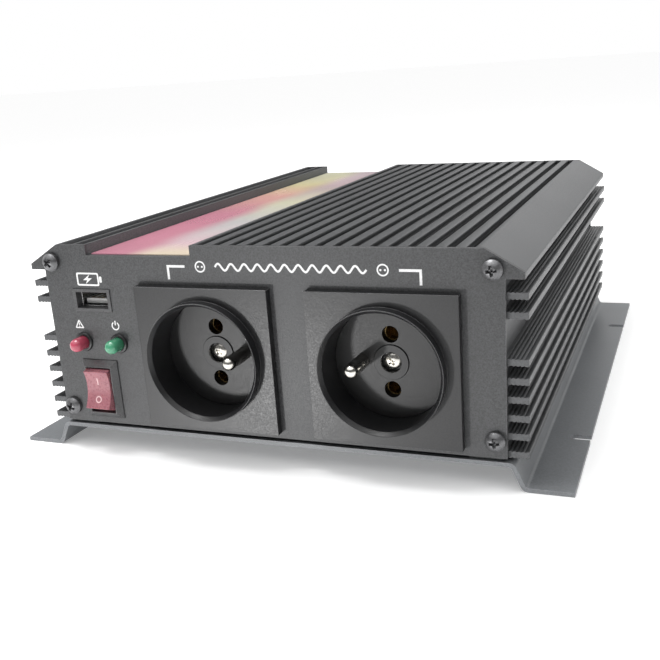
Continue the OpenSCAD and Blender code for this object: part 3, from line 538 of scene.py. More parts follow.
finishLooks = {
    # anodised extrusion: die lines run along the case
    "anodisedCase": {"colour": (0.086, 0.088, 0.091), "metallic": 0.25, "roughness": 0.46,
                     "stretch": (1, 0.4, 1), "grainSize": 0.0005, "grainTone": 0.22, "cloudSize": 0.06,
                     "cloudTone": 0.08, "bumpStrength": 0.25, "bumpDepth": 0.00004},
    # fine textured powder coat on the end panels, with a painted highlight along its edges
    "panelCoat": {"colour": (0.047, 0.048, 0.05), "roughness": 0.46, "grainSize": 0.00045, "grainTone": 0.42,
                  "cloudSize": 0.05, "cloudTone": 0.08, "bumpStrength": 0.55, "bumpDepth": 0.00007,
                  "paintedHighlightTone": (0.3, 0.3, 0.31), "paintedHighlightShare": 0.5, "paintedHighlightRadius": 0.0003},
    # painted highlight along the base plate's edges
    "basePaint": {"colour": (0.17, 0.178, 0.187), "roughness": 0.42, "grainSize": 0.0006, "grainTone": 0.14,
                  "cloudSize": 0.05, "cloudTone": 0.07, "bumpStrength": 0.4, "bumpDepth": 0.00005,
                  "paintedHighlightTone": (0.4, 0.4, 0.41), "paintedHighlightShare": 0.5, "paintedHighlightRadius": 0.0003},
    "blackScrew": {"colour": (0.17, 0.17, 0.175), "metallic": 0.8, "roughness": 0.4, "grainSize": 0.0004,
                   "cloudSize": 0.004, "cloudTone": 0.12, "bumpStrength": 0.3, "bumpDepth": 0.00002},
    "zincScrew": {"colour": (0.52, 0.52, 0.5), "metallic": 1.0, "roughness": 0.32, "grainSize": 0.0005,
                  "second": (0.5, 0.5, 0.42), "cloudSize": 0.003, "cloudTone": 0.12, "bumpDepth": 0.00002},
    # painted highlight along the upward-facing edges of the outlet plates
    "outletPlastic": {"colour": (0.012, 0.012, 0.013), "roughness": 0.38, "grainSize": 0.0004,
                      "grainTone": 0.4, "cloudSize": 0.03, "bumpStrength": 0.4, "bumpDepth": 0.00005,
                      "paintedHighlightTone": (0.42, 0.42, 0.43), "paintedHighlightShare": 0.8, "paintedHighlightRadius": 0.0003,
                      "paintedHighlightUpward": True},
    "insertPlastic": {"colour": (0.006, 0.006, 0.0065), "roughness": 0.42, "grainSize": 0.0004,
                      "grainTone": 0.3, "cloudSize": 0.02, "bumpStrength": 0.35, "bumpDepth": 0.00004},
    "nickelPin": {"colour": (0.72, 0.7, 0.65), "metallic": 1.0, "roughness": 0.2, "stretch": (1, 0.2, 1),
                  "grainSize": 0.0005, "grainTone": 0.1, "cloudSize": 0.003, "bumpDepth": 0.00001},
    "contactBrass": {"colour": (0.3, 0.21, 0.09), "metallic": 1.0, "roughness": 0.3, "grainSize": 0.0006,
                     "cloudSize": 0.004, "cloudTone": 0.15, "bumpDepth": 0.00002},
    "bezelPlastic": {"colour": (0.06, 0.06, 0.062), "roughness": 0.33, "grainSize": 0.0005,
                     "grainTone": 0.25, "cloudSize": 0.015, "bumpStrength": 0.3, "bumpDepth": 0.00003},
    "rockerPlastic": {"colour": (0.31, 0.12, 0.145), "second": (0.35, 0.14, 0.16), "roughness": 0.3,
                      "grainSize": 0.0007, "grainTone": 0.08, "cloudSize": 0.006, "cloudTone": 0.06,
                      "bumpStrength": 0.25, "bumpDepth": 0.00003,
                      "shader": {"Subsurface Weight": 0.15, "Subsurface Scale": 0.002}},
    "blackPlastic": {"colour": (0.018, 0.018, 0.019), "roughness": 0.45, "grainSize": 0.0005,
                     "grainTone": 0.3, "cloudSize": 0.02, "bumpStrength": 0.35, "bumpDepth": 0.00004},
    "tongueWhite": {"colour": (0.5, 0.5, 0.49), "roughness": 0.4, "grainSize": 0.0005, "grainTone": 0.06,
                    "cloudSize": 0.003, "cloudTone": 0.06, "bumpDepth": 0.00002},
    "portSteel": {"colour": (0.55, 0.55, 0.55), "metallic": 1.0, "roughness": 0.25, "stretch": (0.1, 1, 1),
                  "grainSize": 0.0003, "cloudSize": 0.004, "bumpDepth": 0.00001},
    "grilleSteel": {"colour": (0.62, 0.62, 0.63), "metallic": 1.0, "roughness": 0.22, "grainSize": 0.0006,
                    "cloudSize": 0.01, "cloudTone": 0.12, "bumpDepth": 0.00002},
    "redMoulding": {"colour": (0.5, 0.02, 0.022), "roughness": 0.36, "grainSize": 0.0006, "grainTone": 0.12,
                    "cloudSize": 0.008, "cloudTone": 0.1, "bumpDepth": 0.00003},
    "blackMoulding": {"colour": (0.022, 0.022, 0.023), "roughness": 0.36, "grainSize": 0.0006,
                      "grainTone": 0.25, "cloudSize": 0.008, "bumpDepth": 0.00003},
    "postBrass": {"colour": (0.72, 0.53, 0.22), "metallic": 1.0, "roughness": 0.28, "grainSize": 0.0005,
                  "cloudSize": 0.005, "cloudTone": 0.16, "bumpDepth": 0.00002},
    "printInk": {"colour": (0.82, 0.82, 0.82), "roughness": 0.5, "grainSize": 0.0003, "grainTone": 0.08,
                 "cloudSize": 0.004, "cloudTone": 0.04, "bumpDepth": 0.00001},
    "softInk": {"colour": (0.74, 0.52, 0.53), "roughness": 0.45, "grainSize": 0.0003, "grainTone": 0.08,
                "cloudSize": 0.004, "cloudTone": 0.04, "bumpDepth": 0.00001},
    "ferriteGrey": {"colour": (0.03, 0.029, 0.03), "roughness": 0.55, "grainSize": 0.0008, "grainTone": 0.4,
                    "cloudSize": 0.008, "cloudTone": 0.15, "bumpStrength": 0.5, "bumpDepth": 0.00006},
    "windingTape": {"colour": (0.75, 0.5, 0.08), "roughness": 0.3, "stretch": (1, 1, 0.15),
                    "grainSize": 0.001, "cloudSize": 0.01, "bumpDepth": 0.00004},
    "filmBox": {"colour": (0.55, 0.06, 0.03), "roughness": 0.35, "grainSize": 0.0006, "grainTone": 0.1,
                "cloudSize": 0.006, "bumpDepth": 0.00003},
    "coatedPowder": {"colour": (0.55, 0.5, 0.1), "roughness": 0.5, "grainSize": 0.0006, "grainTone": 0.15,
                     "cloudSize": 0.005, "bumpDepth": 0.00005},
    "siliconePad": {"colour": (0.38, 0.4, 0.42), "roughness": 0.7, "grainSize": 0.0008, "grainTone": 0.1,
                    "cloudSize": 0.01, "bumpDepth": 0.00005},
    "bareAluminium": {"colour": (0.7, 0.7, 0.71), "metallic": 1.0, "roughness": 0.36,
                      "stretch": (1, 0.03, 1), "grainSize": 0.0006, "cloudSize": 0.02, "bumpDepth": 0.00003},
    "fuseOrange": {"colour": (0.8, 0.28, 0.03), "roughness": 0.25, "grainSize": 0.0006, "grainTone": 0.08,
                   "cloudSize": 0.005, "bumpDepth": 0.00002, "shader": {"Transmission Weight": 0.3}},
    "brownSleeve": {"colour": (0.11, 0.045, 0.02), "roughness": 0.42, "grainSize": 0.0006,
                    "cloudSize": 0.006},
    "blueSleeve": {"colour": (0.02, 0.08, 0.38), "roughness": 0.42, "grainSize": 0.0006, "cloudSize": 0.006},
    "greenSleeve": {"colour": (0.07, 0.26, 0.05), "roughness": 0.42, "grainSize": 0.0006,
                    "cloudSize": 0.006},
    "redCopper": {"colour": (0.72, 0.3, 0.15), "metallic": 1.0, "roughness": 0.3, "grainSize": 0.0006,
                  "cloudSize": 0.006, "cloudTone": 0.15, "bumpDepth": 0.00002},
}
finishes = {name: dressedFinish(name, look) for name, look in finishLooks.items()}


labelLook = {
    "leftBand": [(0.0, (0.69, 0.28, 0.37)), (0.35, (0.74, 0.27, 0.37)), (0.6, (0.83, 0.43, 0.37)),
                 (0.78, (0.84, 0.74, 0.40)), (1.0, (0.87, 0.85, 0.62))],
    "rightBand": [(0.0, (0.90, 0.76, 0.58)), (0.07, (0.81, 0.58, 0.62)), (0.28, (0.67, 0.65, 0.64)),
                  (0.5, (0.81, 0.78, 0.56)), (0.75, (0.74, 0.56, 0.58)), (1.0, (0.78, 0.63, 0.67))],
    "split": (0.3, 0.62),       # share of the width where the left colour gives way to the right one
    "swirlSize": 0.05,
    "gloss": 0.16,
}


def buildLabelFilm():
    # printed film with two bands of drifting colour under a clear glossy face
    look = labelLook
    low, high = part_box("top_label")
    finish, tree, shader = startFinish("labelFilm", (0.7, 0.5, 0.5), 0.0, look["gloss"],
                                       **{"Coat Weight": 0.7, "Coat Roughness": 0.08})
    place = addNode(tree, "ShaderNodeTexCoord").outputs["Object"]
    swirl = addNode(tree, "ShaderNodeTexNoise",
                    {"Vector": place, "Scale": 1 / look["swirlSize"], "Detail": 2.0})
    drift = addNode(tree, "ShaderNodeVectorMath", operation="MULTIPLY_ADD")
    tree.links.new(swirl.outputs["Color"], drift.inputs[0])
    drift.inputs[1].default_value = (0.012, 0.03, 0)
    tree.links.new(place, drift.inputs[2])
    spot = addNode(tree, "ShaderNodeSeparateXYZ", {"Vector": drift.outputs[0]})
    across = addNode(tree, "ShaderNodeMapRange", {"Value": spot.outputs["X"], "From Min": low.x + 0.006,
                                                  "From Max": high.x + 0.006}).outputs[0]
    along = addNode(tree, "ShaderNodeMapRange", {"Value": spot.outputs["Y"], "From Min": low.y + 0.015,
                                                 "From Max": high.y + 0.015}).outputs[0]
    bands = []
    for stops in (look["leftBand"], look["rightBand"]):
        ramp = addNode(tree, "ShaderNodeValToRGB", {"Fac": along})
        elements = ramp.color_ramp.elements
        while len(elements) < len(stops):
            elements.new(0.5)
        for element, (position, colour) in zip(elements, stops):
            element.position = position
            element.color = (*colour, 1)
        bands.append(ramp.outputs[0])
    side = addNode(tree, "ShaderNodeMapRange", {"Value": across, "From Min": look["split"][0],
                                                "From Max": look["split"][1]},
                                                interpolation_type="SMOOTHSTEP")
    tone = mixColours(tree, side.outputs[0], bands[0], bands[1])
    dots = objectNoise(tree, 0.0008, detail=1.0)
    speck = addNode(tree, "ShaderNodeMapRange", {"Value": dots, "To Min": 0.9, "To Max": 1.08}).outputs[0]
    grey = addNode(tree, "ShaderNodeCombineXYZ", {"X": speck, "Y": speck, "Z": speck}).outputs[0]
    tree.links.new(mixColours(tree, 1.0, tone, grey, "MULTIPLY"), shader.inputs["Base Color"])
    smears = objectNoise(tree, 0.02, (1, 0.4, 1), 4.0)
    rough = addNode(tree, "ShaderNodeMapRange", {"Value": smears, "From Min": 0.35, "From Max": 0.75,
                                                 "To Min": look["gloss"],
                                                 "To Max": look["gloss"] + 0.14}).outputs[0]
    tree.links.new(rough, shader.inputs["Roughness"])
    ripple = addNode(tree, "ShaderNodeBump", {"Strength": 0.15, "Distance": 0.0001,
                                              "Height": objectNoise(tree, 0.012, detail=1.0)})
    tree.links.new(ripple.outputs[0], shader.inputs["Normal"])
    return finish


def buildLensFinish(name, colour, deep):
    # clear coloured resin, a little cloudy and darker towards its foot
    finish, tree, shader = startFinish(name, colour, 0.0, 0.08, **{"Transmission Weight": 0.3, "IOR": 1.45,
                                                                   "Coat Weight": 0.6})
    swirl = objectNoise(tree, 0.002, detail=2.0)
    place = addNode(tree, "ShaderNodeTexCoord").outputs["Object"]
    depth = addNode(tree, "ShaderNodeSeparateXYZ", {"Vector": place}).outputs["Y"]
    foot = addNode(tree, "ShaderNodeMapRange", {"Value": depth, "From Min": caseCorner.y - 0.006,
                                                "From Max": caseCorner.y}).outputs[0]
    tone = mixColours(tree, foot, (*colour, 1), (*deep, 1))
    speck = addNode(tree, "ShaderNodeMapRange", {"Value": swirl, "To Min": 0.85, "To Max": 1.15}).outputs[0]
    grey = addNode(tree, "ShaderNodeCombineXYZ", {"X": speck, "Y": speck, "Z": speck}).outputs[0]
    tree.links.new(mixColours(tree, 1.0, tone, grey, "MULTIPLY"), shader.inputs["Base Color"])
    rough = addNode(tree, "ShaderNodeMapRange", {"Value": swirl, "To Min": 0.05, "To Max": 0.14}).outputs[0]
    tree.links.new(rough, shader.inputs["Roughness"])
    bump = addNode(tree, "ShaderNodeBump", {"Strength": 0.05, "Distance": 0.00001, "Height": swirl})
    tree.links.new(bump.outputs[0], shader.inputs["Normal"])
    return finish


def buildBoardFinish():
    # green solder mask over a grid of tracks, with tinned pads
    finish, tree, shader = startFinish("circuitBoard", (0.02, 0.12, 0.05), 0.0, 0.35)
    place = addNode(tree, "ShaderNodeTexCoord").outputs["Object"]
    tracks = addNode(tree, "ShaderNodeTexBrick", {"Vector": place, "Scale": 90.0, "Color1": (1, 1, 1, 1),
                                                  "Color2": (0.6, 0.6, 0.6, 1), "Mortar": (0, 0, 0, 1),
                                                  "Mortar Size": 0.03})
    pads = addNode(tree, "ShaderNodeTexVoronoi", {"Vector": place, "Scale": 260.0},
                   feature="F1").outputs["Distance"]
    isPad = addNode(tree, "ShaderNodeMath", operation="LESS_THAN")
    tree.links.new(pads, isPad.inputs[0])
    isPad.inputs[1].default_value = 0.16
    mask = mixColours(tree, tracks.outputs["Color"], (0.012, 0.075, 0.03, 1), (0.025, 0.15, 0.06, 1))
    tone = mixColours(tree, isPad.outputs[0], mask, (0.6, 0.6, 0.58, 1))
    tree.links.new(tone, shader.inputs["Base Color"])
    tree.links.new(isPad.outputs[0], shader.inputs["Metallic"])
    bump = addNode(tree, "ShaderNodeBump", {"Strength": 0.4, "Distance": 0.00005,
                                            "Height": tracks.outputs["Fac"]}, invert=True)
    tree.links.new(bump.outputs[0], shader.inputs["Normal"])
    return finish


def buildSleeveFinish():
    # shrunk plastic sleeve of a capacitor, with its pale stripe down one side
    finish, tree, shader = startFinish("capacitorSleeve", (0.02, 0.025, 0.09), 0.0, 0.3)
    place = addNode(tree, "ShaderNodeTexCoord").outputs["Object"]
    bands = addNode(tree, "ShaderNodeTexWave", {"Vector": place, "Scale": 14.0, "Distortion": 0.0},
                    wave_type="BANDS", bands_direction="X").outputs["Fac"]
    stripe = addNode(tree, "ShaderNodeMapRange",
                     {"Value": bands, "From Min": 0.97, "From Max": 0.985}).outputs[0]
    tone = mixColours(tree, stripe, (0.018, 0.022, 0.08, 1), (0.4, 0.42, 0.46, 1))
    tree.links.new(tone, shader.inputs["Base Color"])
    grain = objectNoise(tree, 0.0008)
    rough = addNode(tree, "ShaderNodeMapRange", {"Value": grain, "To Min": 0.22, "To Max": 0.4}).outputs[0]
    tree.links.new(rough, shader.inputs["Roughness"])
    bump = addNode(tree, "ShaderNodeBump", {"Strength": 0.2, "Distance": 0.00003, "Height": grain})
    tree.links.new(bump.outputs[0], shader.inputs["Normal"])
    return finish


def buildWoundCopper():
    # enamelled wire laid side by side
    finish, tree, shader = startFinish("woundCopper", (0.6, 0.22, 0.08), 0.8, 0.28)
    place = addNode(tree, "ShaderNodeTexCoord").outputs["Object"]
    turns = addNode(tree, "ShaderNodeTexWave", {"Vector": place, "Scale": 300.0, "Distortion": 0.6,
                                                "Detail": 1.0}, wave_type="RINGS",
                                                rings_direction="Z").outputs["Fac"]
    tone = mixColours(tree, turns, (0.25, 0.07, 0.02, 1), (0.75, 0.3, 0.12, 1))
    tree.links.new(tone, shader.inputs["Base Color"])
    bump = addNode(tree, "ShaderNodeBump", {"Strength": 0.8, "Distance": 0.0004, "Height": turns})
    tree.links.new(bump.outputs[0], shader.inputs["Normal"])
    return finish


finishes["labelFilm"] = buildLabelFilm()
finishes["redLens"] = buildLensFinish("redLens", (0.62, 0.1, 0.16), (0.3, 0.03, 0.06))
finishes["greenLens"] = buildLensFinish("greenLens", (0.1, 0.42, 0.24), (0.03, 0.2, 0.1))
finishes["circuitBoard"] = buildBoardFinish()
finishes["capacitorSleeve"] = buildSleeveFinish()
finishes["woundCopper"] = buildWoundCopper()
print("finishes ready")


# Housing: one long extrusion with cooling fins on its top and both sides

housingLook = {
    "length": (1.5, 228.5),
    "wall": 82.2, "inside": 79.5, "skirt": -1.2,
    "flangeEdge": 71, "flangeTop": 1.3,
    "earTip": 89.6, "earLow": 58.1, "earHigh": 60.2, "topEdge": 77.4, "top": 67.4,
    "sideFins": [0, 6.1, 12.2, 18.3, 24.4, 30.5, 45.4, 51.5], "finThick": 2.3,
    "finTip": 90.4, "rootFin": 6.1,
    "topGrooves": 16, "firstGroove": -19.6, "groovePitch": 6.19, "grooveWide": 2.7, "grooveFloor": 61.4,
    "recess": (-65, -22.8, 63.55),
    "railGrooves": [(-70, -66.3, 63.4), (-76.2, -71.3, 63.4)],
    "portX": 80, "portZ": (6, 61), "portRadius": 1.7, "bossRadius": 3.6,
    "sideTeeth": 5, "topTeeth": 4, "toothDeep": 0.3,
    "rounding": 0.3,
}


def teeth(start, end, count, depth):
    # small notches cut into a straight run, on its left-hand side
    start, end = Vector(start), Vector(end)
    run = end - start
    inward = Vector((-run.y, run.x)).normalized() * depth
    points = []
    for i in range(count):
        middle = (i + 0.75) / (count + 0.5)
        half = 0.34 / (count + 0.5)
        points += [start + run * (middle - half), start + run * middle + inward,
                   start + run * (middle + half)]
    return [tuple(p) for p in points]


def sideOutline(look):
    # right-hand side of the section from the flange up to the ear, then mirrored for the left
    wall, ear, tip, thick = look["wall"], look["earTip"], look["finTip"], look["finThick"]
    boss, low = look["bossRadius"], look["portZ"][0]
    reach = math.degrees(math.acos((wall - look["portX"]) / boss))      # where the round back meets the wall
    points = [(look["flangeEdge"], look["skirt"]), (wall, look["skirt"])]
    for z in look["sideFins"]:
        under = over = wall
        if z == look["rootFin"]:      # this fin grows out of the screw channel's round back
            under = look["portX"] + math.sqrt(boss ** 2 - (z - low) ** 2)
            over = look["portX"] + math.sqrt(boss ** 2 - (z + thick - low) ** 2)
            points += arcPoints((look["portX"], low), boss, -reach,
                                math.degrees(math.asin((z - low) / boss)), 6)[:-1]
        points.append((under, z))
        points += teeth((under + 0.4, z), (tip - 0.5, z), look["sideTeeth"], look["toothDeep"])
        points += [(tip, z), (tip, z + thick)]
        points += teeth((tip - 0.5, z + thick), (over + 0.4, z + thick), look["sideTeeth"],
                        look["toothDeep"])
        points.append((over, z + thick))
        if over > wall:
            points += arcPoints((look["portX"], low), boss,
                                math.degrees(math.asin((z + thick - low) / boss)), reach,
                                3)[1:]
    points += [(wall, look["earLow"]), (ear, look["earLow"]), (ear, look["earHigh"])]
    return points


def topOutline(look):
    grooves = [(look["firstGroove"] + i * look["groovePitch"] - look["grooveWide"] / 2,
                look["firstGroove"] + i * look["groovePitch"] + look["grooveWide"] / 2, look["grooveFloor"])
               for i in range(look["topGrooves"])]
    cuts = sorted(grooves + [look["recess"]] + look["railGrooves"], reverse=True)
    points = [(look["topEdge"], look["top"])]
    for left, right, floor in cuts:
        deep = look["top"] - floor
        points.append((right, look["top"]))
        if deep > 5:
            points += teeth((right, look["top"] - 0.5), (right, floor + 0.5), look["topTeeth"], 0.25)
        points += [(right, floor), (left, floor)]
        if deep > 5:
            points += teeth((left, floor + 0.5), (left, look["top"] - 0.5), look["topTeeth"], 0.25)
        points.append((left, look["top"]))
    points.append((-look["topEdge"], look["top"]))
    return points


def insideOutline(look):
    boss, portX, inside = look["bossRadius"], look["portX"], look["inside"]
    low, high = look["portZ"]
    points = arcPoints((portX, high), boss, -144.3, -98.0, 5)
    points += arcPoints((portX, low), boss, 98.0, 262.0, 12)
    points += [(inside, look["flangeTop"]), (look["flangeEdge"], look["flangeTop"])]
    return points


def buildHousing():
    look = housingLook
    right = sideOutline(look)
    left = [(-x, z) for x, z in reversed(right)]
    inner = insideOutline(look)
    leftInner = [(-x, z) for x, z in reversed(inner)]
    outline = right + topOutline(look) + left + leftInner + inner
    loops = [roundedLoop(outline, look["rounding"], 2, 0.6)]
    for x in (-look["portX"], look["portX"]):
        for z in look["portZ"]:
            loops.append(arcPoints((x, z), look["portRadius"], 0, 345, 23))
    mesh = drawnSolid(loops, look["length"][0], look["length"][1], finishes["anodisedCase"])
    addPiece("housingShell", mesh, finishes["anodisedCase"], replaced=["housing"])
    print("housing built")


# Base, end panels and label

def buildPlates():
    softCopy("base_plate", finishes["basePaint"], edge=0.28, name="baseTray")
    softCopy("front_panel", finishes["panelCoat"], edge=0.22, name="frontPlate")
    softCopy("rear_panel", finishes["panelCoat"], edge=0.22, name="rearPlate")

    low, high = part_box("top_label")
    corners = [(low.x, low.y), (high.x, low.y), (high.x, high.y), (low.x, high.y)]
    outline = roundedLoop([(x * 1000, y * 1000) for x, y in corners], 1.2, 5)
    mesh = drawnSolid([outline], 0, (high.z - low.z) * 1000, finishes["labelFilm"])
    mesh.transform(Matrix.Rotation(math.radians(-90), 4, "X"))
    mesh.transform(Matrix.Translation((0, 0, high.z)) @ Matrix.Scale(0.001, 4))
    addPiece("labelFilm", mesh, finishes["labelFilm"], replaced=["top_label"],
             inMillimetres=False)
    print("base, panels and label built")


# Printed marks on the front panel: a frame line and a run of alternating current over the outlets,
# a warning triangle and a power mark over the lamps, and a charging battery over the port

markLook = {
    "lift": 0.05, "line": 0.85,
    "bracket": {"top": 60.2, "foot": 55.6, "left": (-31.8, -25.2), "right": (50.9, 57.8)},
    "wave": {"x0": -13.5, "x1": 40.2, "z": 60.2, "swing": 1.15, "turns": 11, "line": 0.7},
    "sockets": {"x": (-19.2, 45.6), "z": 60.2, "radius": 1.75, "pin": 0.36},
    "fault": {"x": -72.2, "z": 38.0, "size": 2.3},
    "power": {"x": -56.6, "z": 38.1, "radius": 1.6},
    "charge": {"x": -65.0, "z": 54.9, "long": 10.6, "high": 4.8},
}


def ringLoops(x, z, radius, line, start=0, end=360):
    if end - start >= 360:
        return [arcPoints((x, z), radius + line / 2, 0, 352, 44),
                arcPoints((x, z), radius - line / 2, 0, 352, 44)]
    return [arcPoints((x, z), radius + line / 2, start, end, 36)
            + arcPoints((x, z), radius - line / 2, end, start, 36)]


def buildMarks():
    look = markLook
    frameLine = look["bracket"]
    groups = []
    x0, x1 = frameLine["left"]
    groups.append([strokeLoop([(x0, frameLine["foot"]), (x0, frameLine["top"]), (x1, frameLine["top"])],
                              look["line"])])
    x0, x1 = frameLine["right"]
    groups.append([strokeLoop([(x0, frameLine["top"]), (x1, frameLine["top"]), (x1, frameLine["foot"])],
                              look["line"])])

    wave = look["wave"]
    steps = wave["turns"] * 16
    run = [(wave["x0"] + (wave["x1"] - wave["x0"]) * i / steps,
            wave["z"] + wave["swing"] * math.sin(2 * math.pi * wave["turns"] * i / steps))
            for i in range(steps + 1)]
    groups.append([strokeLoop(run, wave["line"])])

    sockets = look["sockets"]
    for x in sockets["x"]:
        groups.append(ringLoops(x, sockets["z"], sockets["radius"], 0.5))
        for side in (-1, 1):
            groups.append([arcPoints((x + side * 0.75, sockets["z"]), sockets["pin"], 0, 330, 11)])

    fault = look["fault"]
    outer = [(fault["x"] + fault["size"] * math.cos(a), fault["z"] - 0.35 + fault["size"] * math.sin(a))
             for a in (math.radians(90), math.radians(210), math.radians(330))]
    centre = Vector((fault["x"], fault["z"] - 0.35))
    inner = [tuple(centre + (Vector(p) - centre) * 0.62) for p in outer]
    groups.append([roundedLoop(outer, 0.35, 4), roundedLoop(inner, 0.12, 3)])
    groups.append([strokeLoop([(fault["x"], fault["z"] + 0.55), (fault["x"], fault["z"] - 0.45)], 0.36)])
    groups.append([arcPoints((fault["x"], fault["z"] - 0.88), 0.22, 0, 330, 11)])

    power = look["power"]
    groups.append(ringLoops(power["x"], power["z"] - 0.15, power["radius"] - 0.2, 0.46, 122, 418))
    groups.append([strokeLoop([(power["x"], power["z"] + 1.75), (power["x"], power["z"] + 0.1)], 0.46)])

    charge = look["charge"]
    x, z, half, rise = charge["x"], charge["z"], charge["long"] / 2, charge["high"] / 2
    shell = [(x - half, z - rise), (x + half - 1.2, z - rise), (x + half - 1.2, z + rise),
             (x - half, z + rise)]
    hollow = [(x - half + 0.6, z - rise + 0.6), (x + half - 1.8, z - rise + 0.6),
              (x + half - 1.8, z + rise - 0.6), (x - half + 0.6, z + rise - 0.6)]
    groups.append([roundedLoop(shell, 0.8, 5), roundedLoop(hollow, 0.45, 4)])
    groups.append([roundedLoop([(x + half - 1.0, z - 1.1), (x + half, z - 1.1), (x + half, z + 1.1),
                                (x + half - 1.0, z + 1.1)], 0.3, 3)])
    bolt = [(0.9, 1.75), (-2.0, -0.35), (-0.25, -0.35), (-1.1, -1.75), (1.8, 0.4), (0.1, 0.4)]
    groups.append([[(x - 0.6 + dx, z + dz) for dx, dz in bolt]])

    ink = finishes["printInk"]
    meshes = [drawnSolid(loops, -look["lift"], 0.02, ink) for loops in groups]
    addPiece("panelMarks", joinMeshes(meshes, "marks"), ink)
    print("marks built")


# Screws

screwLook = {
    # sort: head radius, head height, shank radius, shank length, cross half length, cross width, cross depth
    "panelScrew": (3.25, 3.0, 1.7, 9.0, 1.9, 1.0, 1.5),
    "smallScrew": (2.8, 1.8, 1.25, 4.6, 1.5, 0.85, 1.0),
    "clampScrew": (2.8, 1.8, 1.25, 10.9, 1.5, 0.85, 1.0),
    "outletScrew": (2.9, 1.4, 1.5, 10.0, 1.5, 0.85, 0.8),
    "fanScrew": (3.2, 2.0, 2.0, 21.0, 1.7, 0.95, 1.15),
}


def screwMesh(sort):
    # a domed head with a tapered cross recess and a threaded shank; its underside is at height 0
    headRadius, headHigh, shank, longShank, arm, wide, deep = screwLook[sort]
    profile = [(0, headHigh), (headRadius * 0.25, headHigh - 0.012)]
    for s in range(2, 9):
        share = s / 8
        profile.append((headRadius * share, headHigh * (1 - 0.55 * share ** 2.6)))
    profile += [(headRadius * 1.0, headHigh * 0.3), (headRadius * 0.965, 0.06), (headRadius * 0.9, 0)]
    turns = max(3, int(longShank / 0.9))
    profile.append((shank, 0))
    for t in range(turns):
        y = -0.25 - (longShank - 0.9) * t / turns
        step = (longShank - 0.9) / turns
        profile += [(shank * 0.78, y), (shank * 0.78, y - step * 0.35), (shank, y - step * 0.7)]
    profile += [(shank * 0.78, -longShank + 0.55), (shank * 0.35, -longShank), (0, -longShank)]
    head = turned(profile, steps=40)
    piece = looseObject("screwBody", head)

    cutter = bmesh.new()
    for angle in (0, math.pi / 2):
        corners = []
        for height, reach, thick in ((headHigh + 0.5, arm * 1.2, wide * 0.62),
                                     (headHigh - deep, arm * 0.5, wide * 0.33)):
            for sx, sz in ((-1, -1), (1, -1), (1, 1), (-1, 1)):
                corners.append(cutter.verts.new(Vector((sx * reach, height, sz * thick))))
        low, high = corners[4:], corners[:4]
        faces = [cutter.faces.new(high), cutter.faces.new(low[::-1])]
        for k in range(4):
            faces.append(cutter.faces.new((high[k], low[k], low[(k + 1) % 4], high[(k + 1) % 4])))
        bmesh.ops.rotate(cutter, verts=corners, cent=(0, 0, 0), matrix=Matrix.Rotation(angle, 3, "Y"))
    heart = bmesh.ops.create_cone(cutter, cap_ends=True, segments=8, radius1=wide * 0.25,
                                  radius2=wide * 0.95,
                                  depth=deep + 1.4)["verts"]
    bmesh.ops.rotate(cutter, verts=heart, cent=(0, 0, 0), matrix=Matrix.Rotation(math.radians(-90), 3, "X"))
    bmesh.ops.translate(cutter, verts=heart, vec=(0, headHigh - deep * 0.55, 0))
    bmesh.ops.recalc_face_normals(cutter, faces=cutter.faces)
    cross = looseObject("screwCross", meshFrom(cutter, "cross"))
    cut = piece.modifiers.new("cross", "BOOLEAN")
    cut.object = cross
    cut.solver = "EXACT"
    cut.use_self = True
    mesh = runModifiers(piece)
    bpy.data.objects.remove(cross)
    mesh.transform(Matrix.Rotation(math.radians(90), 4, "X"))     # the head now points along +z
    return smoothMesh(mesh, 40)


def setScrews(sort, places, finish, seed):
    # places: list of (place of the head's underside, direction that the head faces)
    screw = looseObject(sort, screwMesh(sort))
    points = bpy.data.meshes.new("screwPlaces")
    points.from_pydata([p for p, _ in places], [], [])
    facing = points.attributes.new("facing", "FLOAT_VECTOR", "POINT")
    facing.data.foreach_set("vector", [v for _, way in places for v in way])
    mesh = runTree(screwTree, looseObject("screwPlaces", points),
                   {"Screw": screw, "Finish": finish, "Seed": seed})
    bpy.data.objects.remove(screw)
    return mesh


screwPlaces = {
    "under": -2.7, "baseSides": 74, "baseRows": (22, 115, 208),
    "boardTop": 12.1, "boardSides": 62, "boardRows": (46, 160, 198),
    "clampSides": 70.5, "clampHeight": 25, "clampRows": (61, 97, 133, 169),
    "outletDeep": 8.1, "outletHeight": 27.9, "outletSides": (-19.5, 44.7),
    "fanHeads": 231.6, "fanNuts": (210.5, 213.4), "fanSpread": 20, "nutAcross": 3.9, "nutBore": 2.01,
}


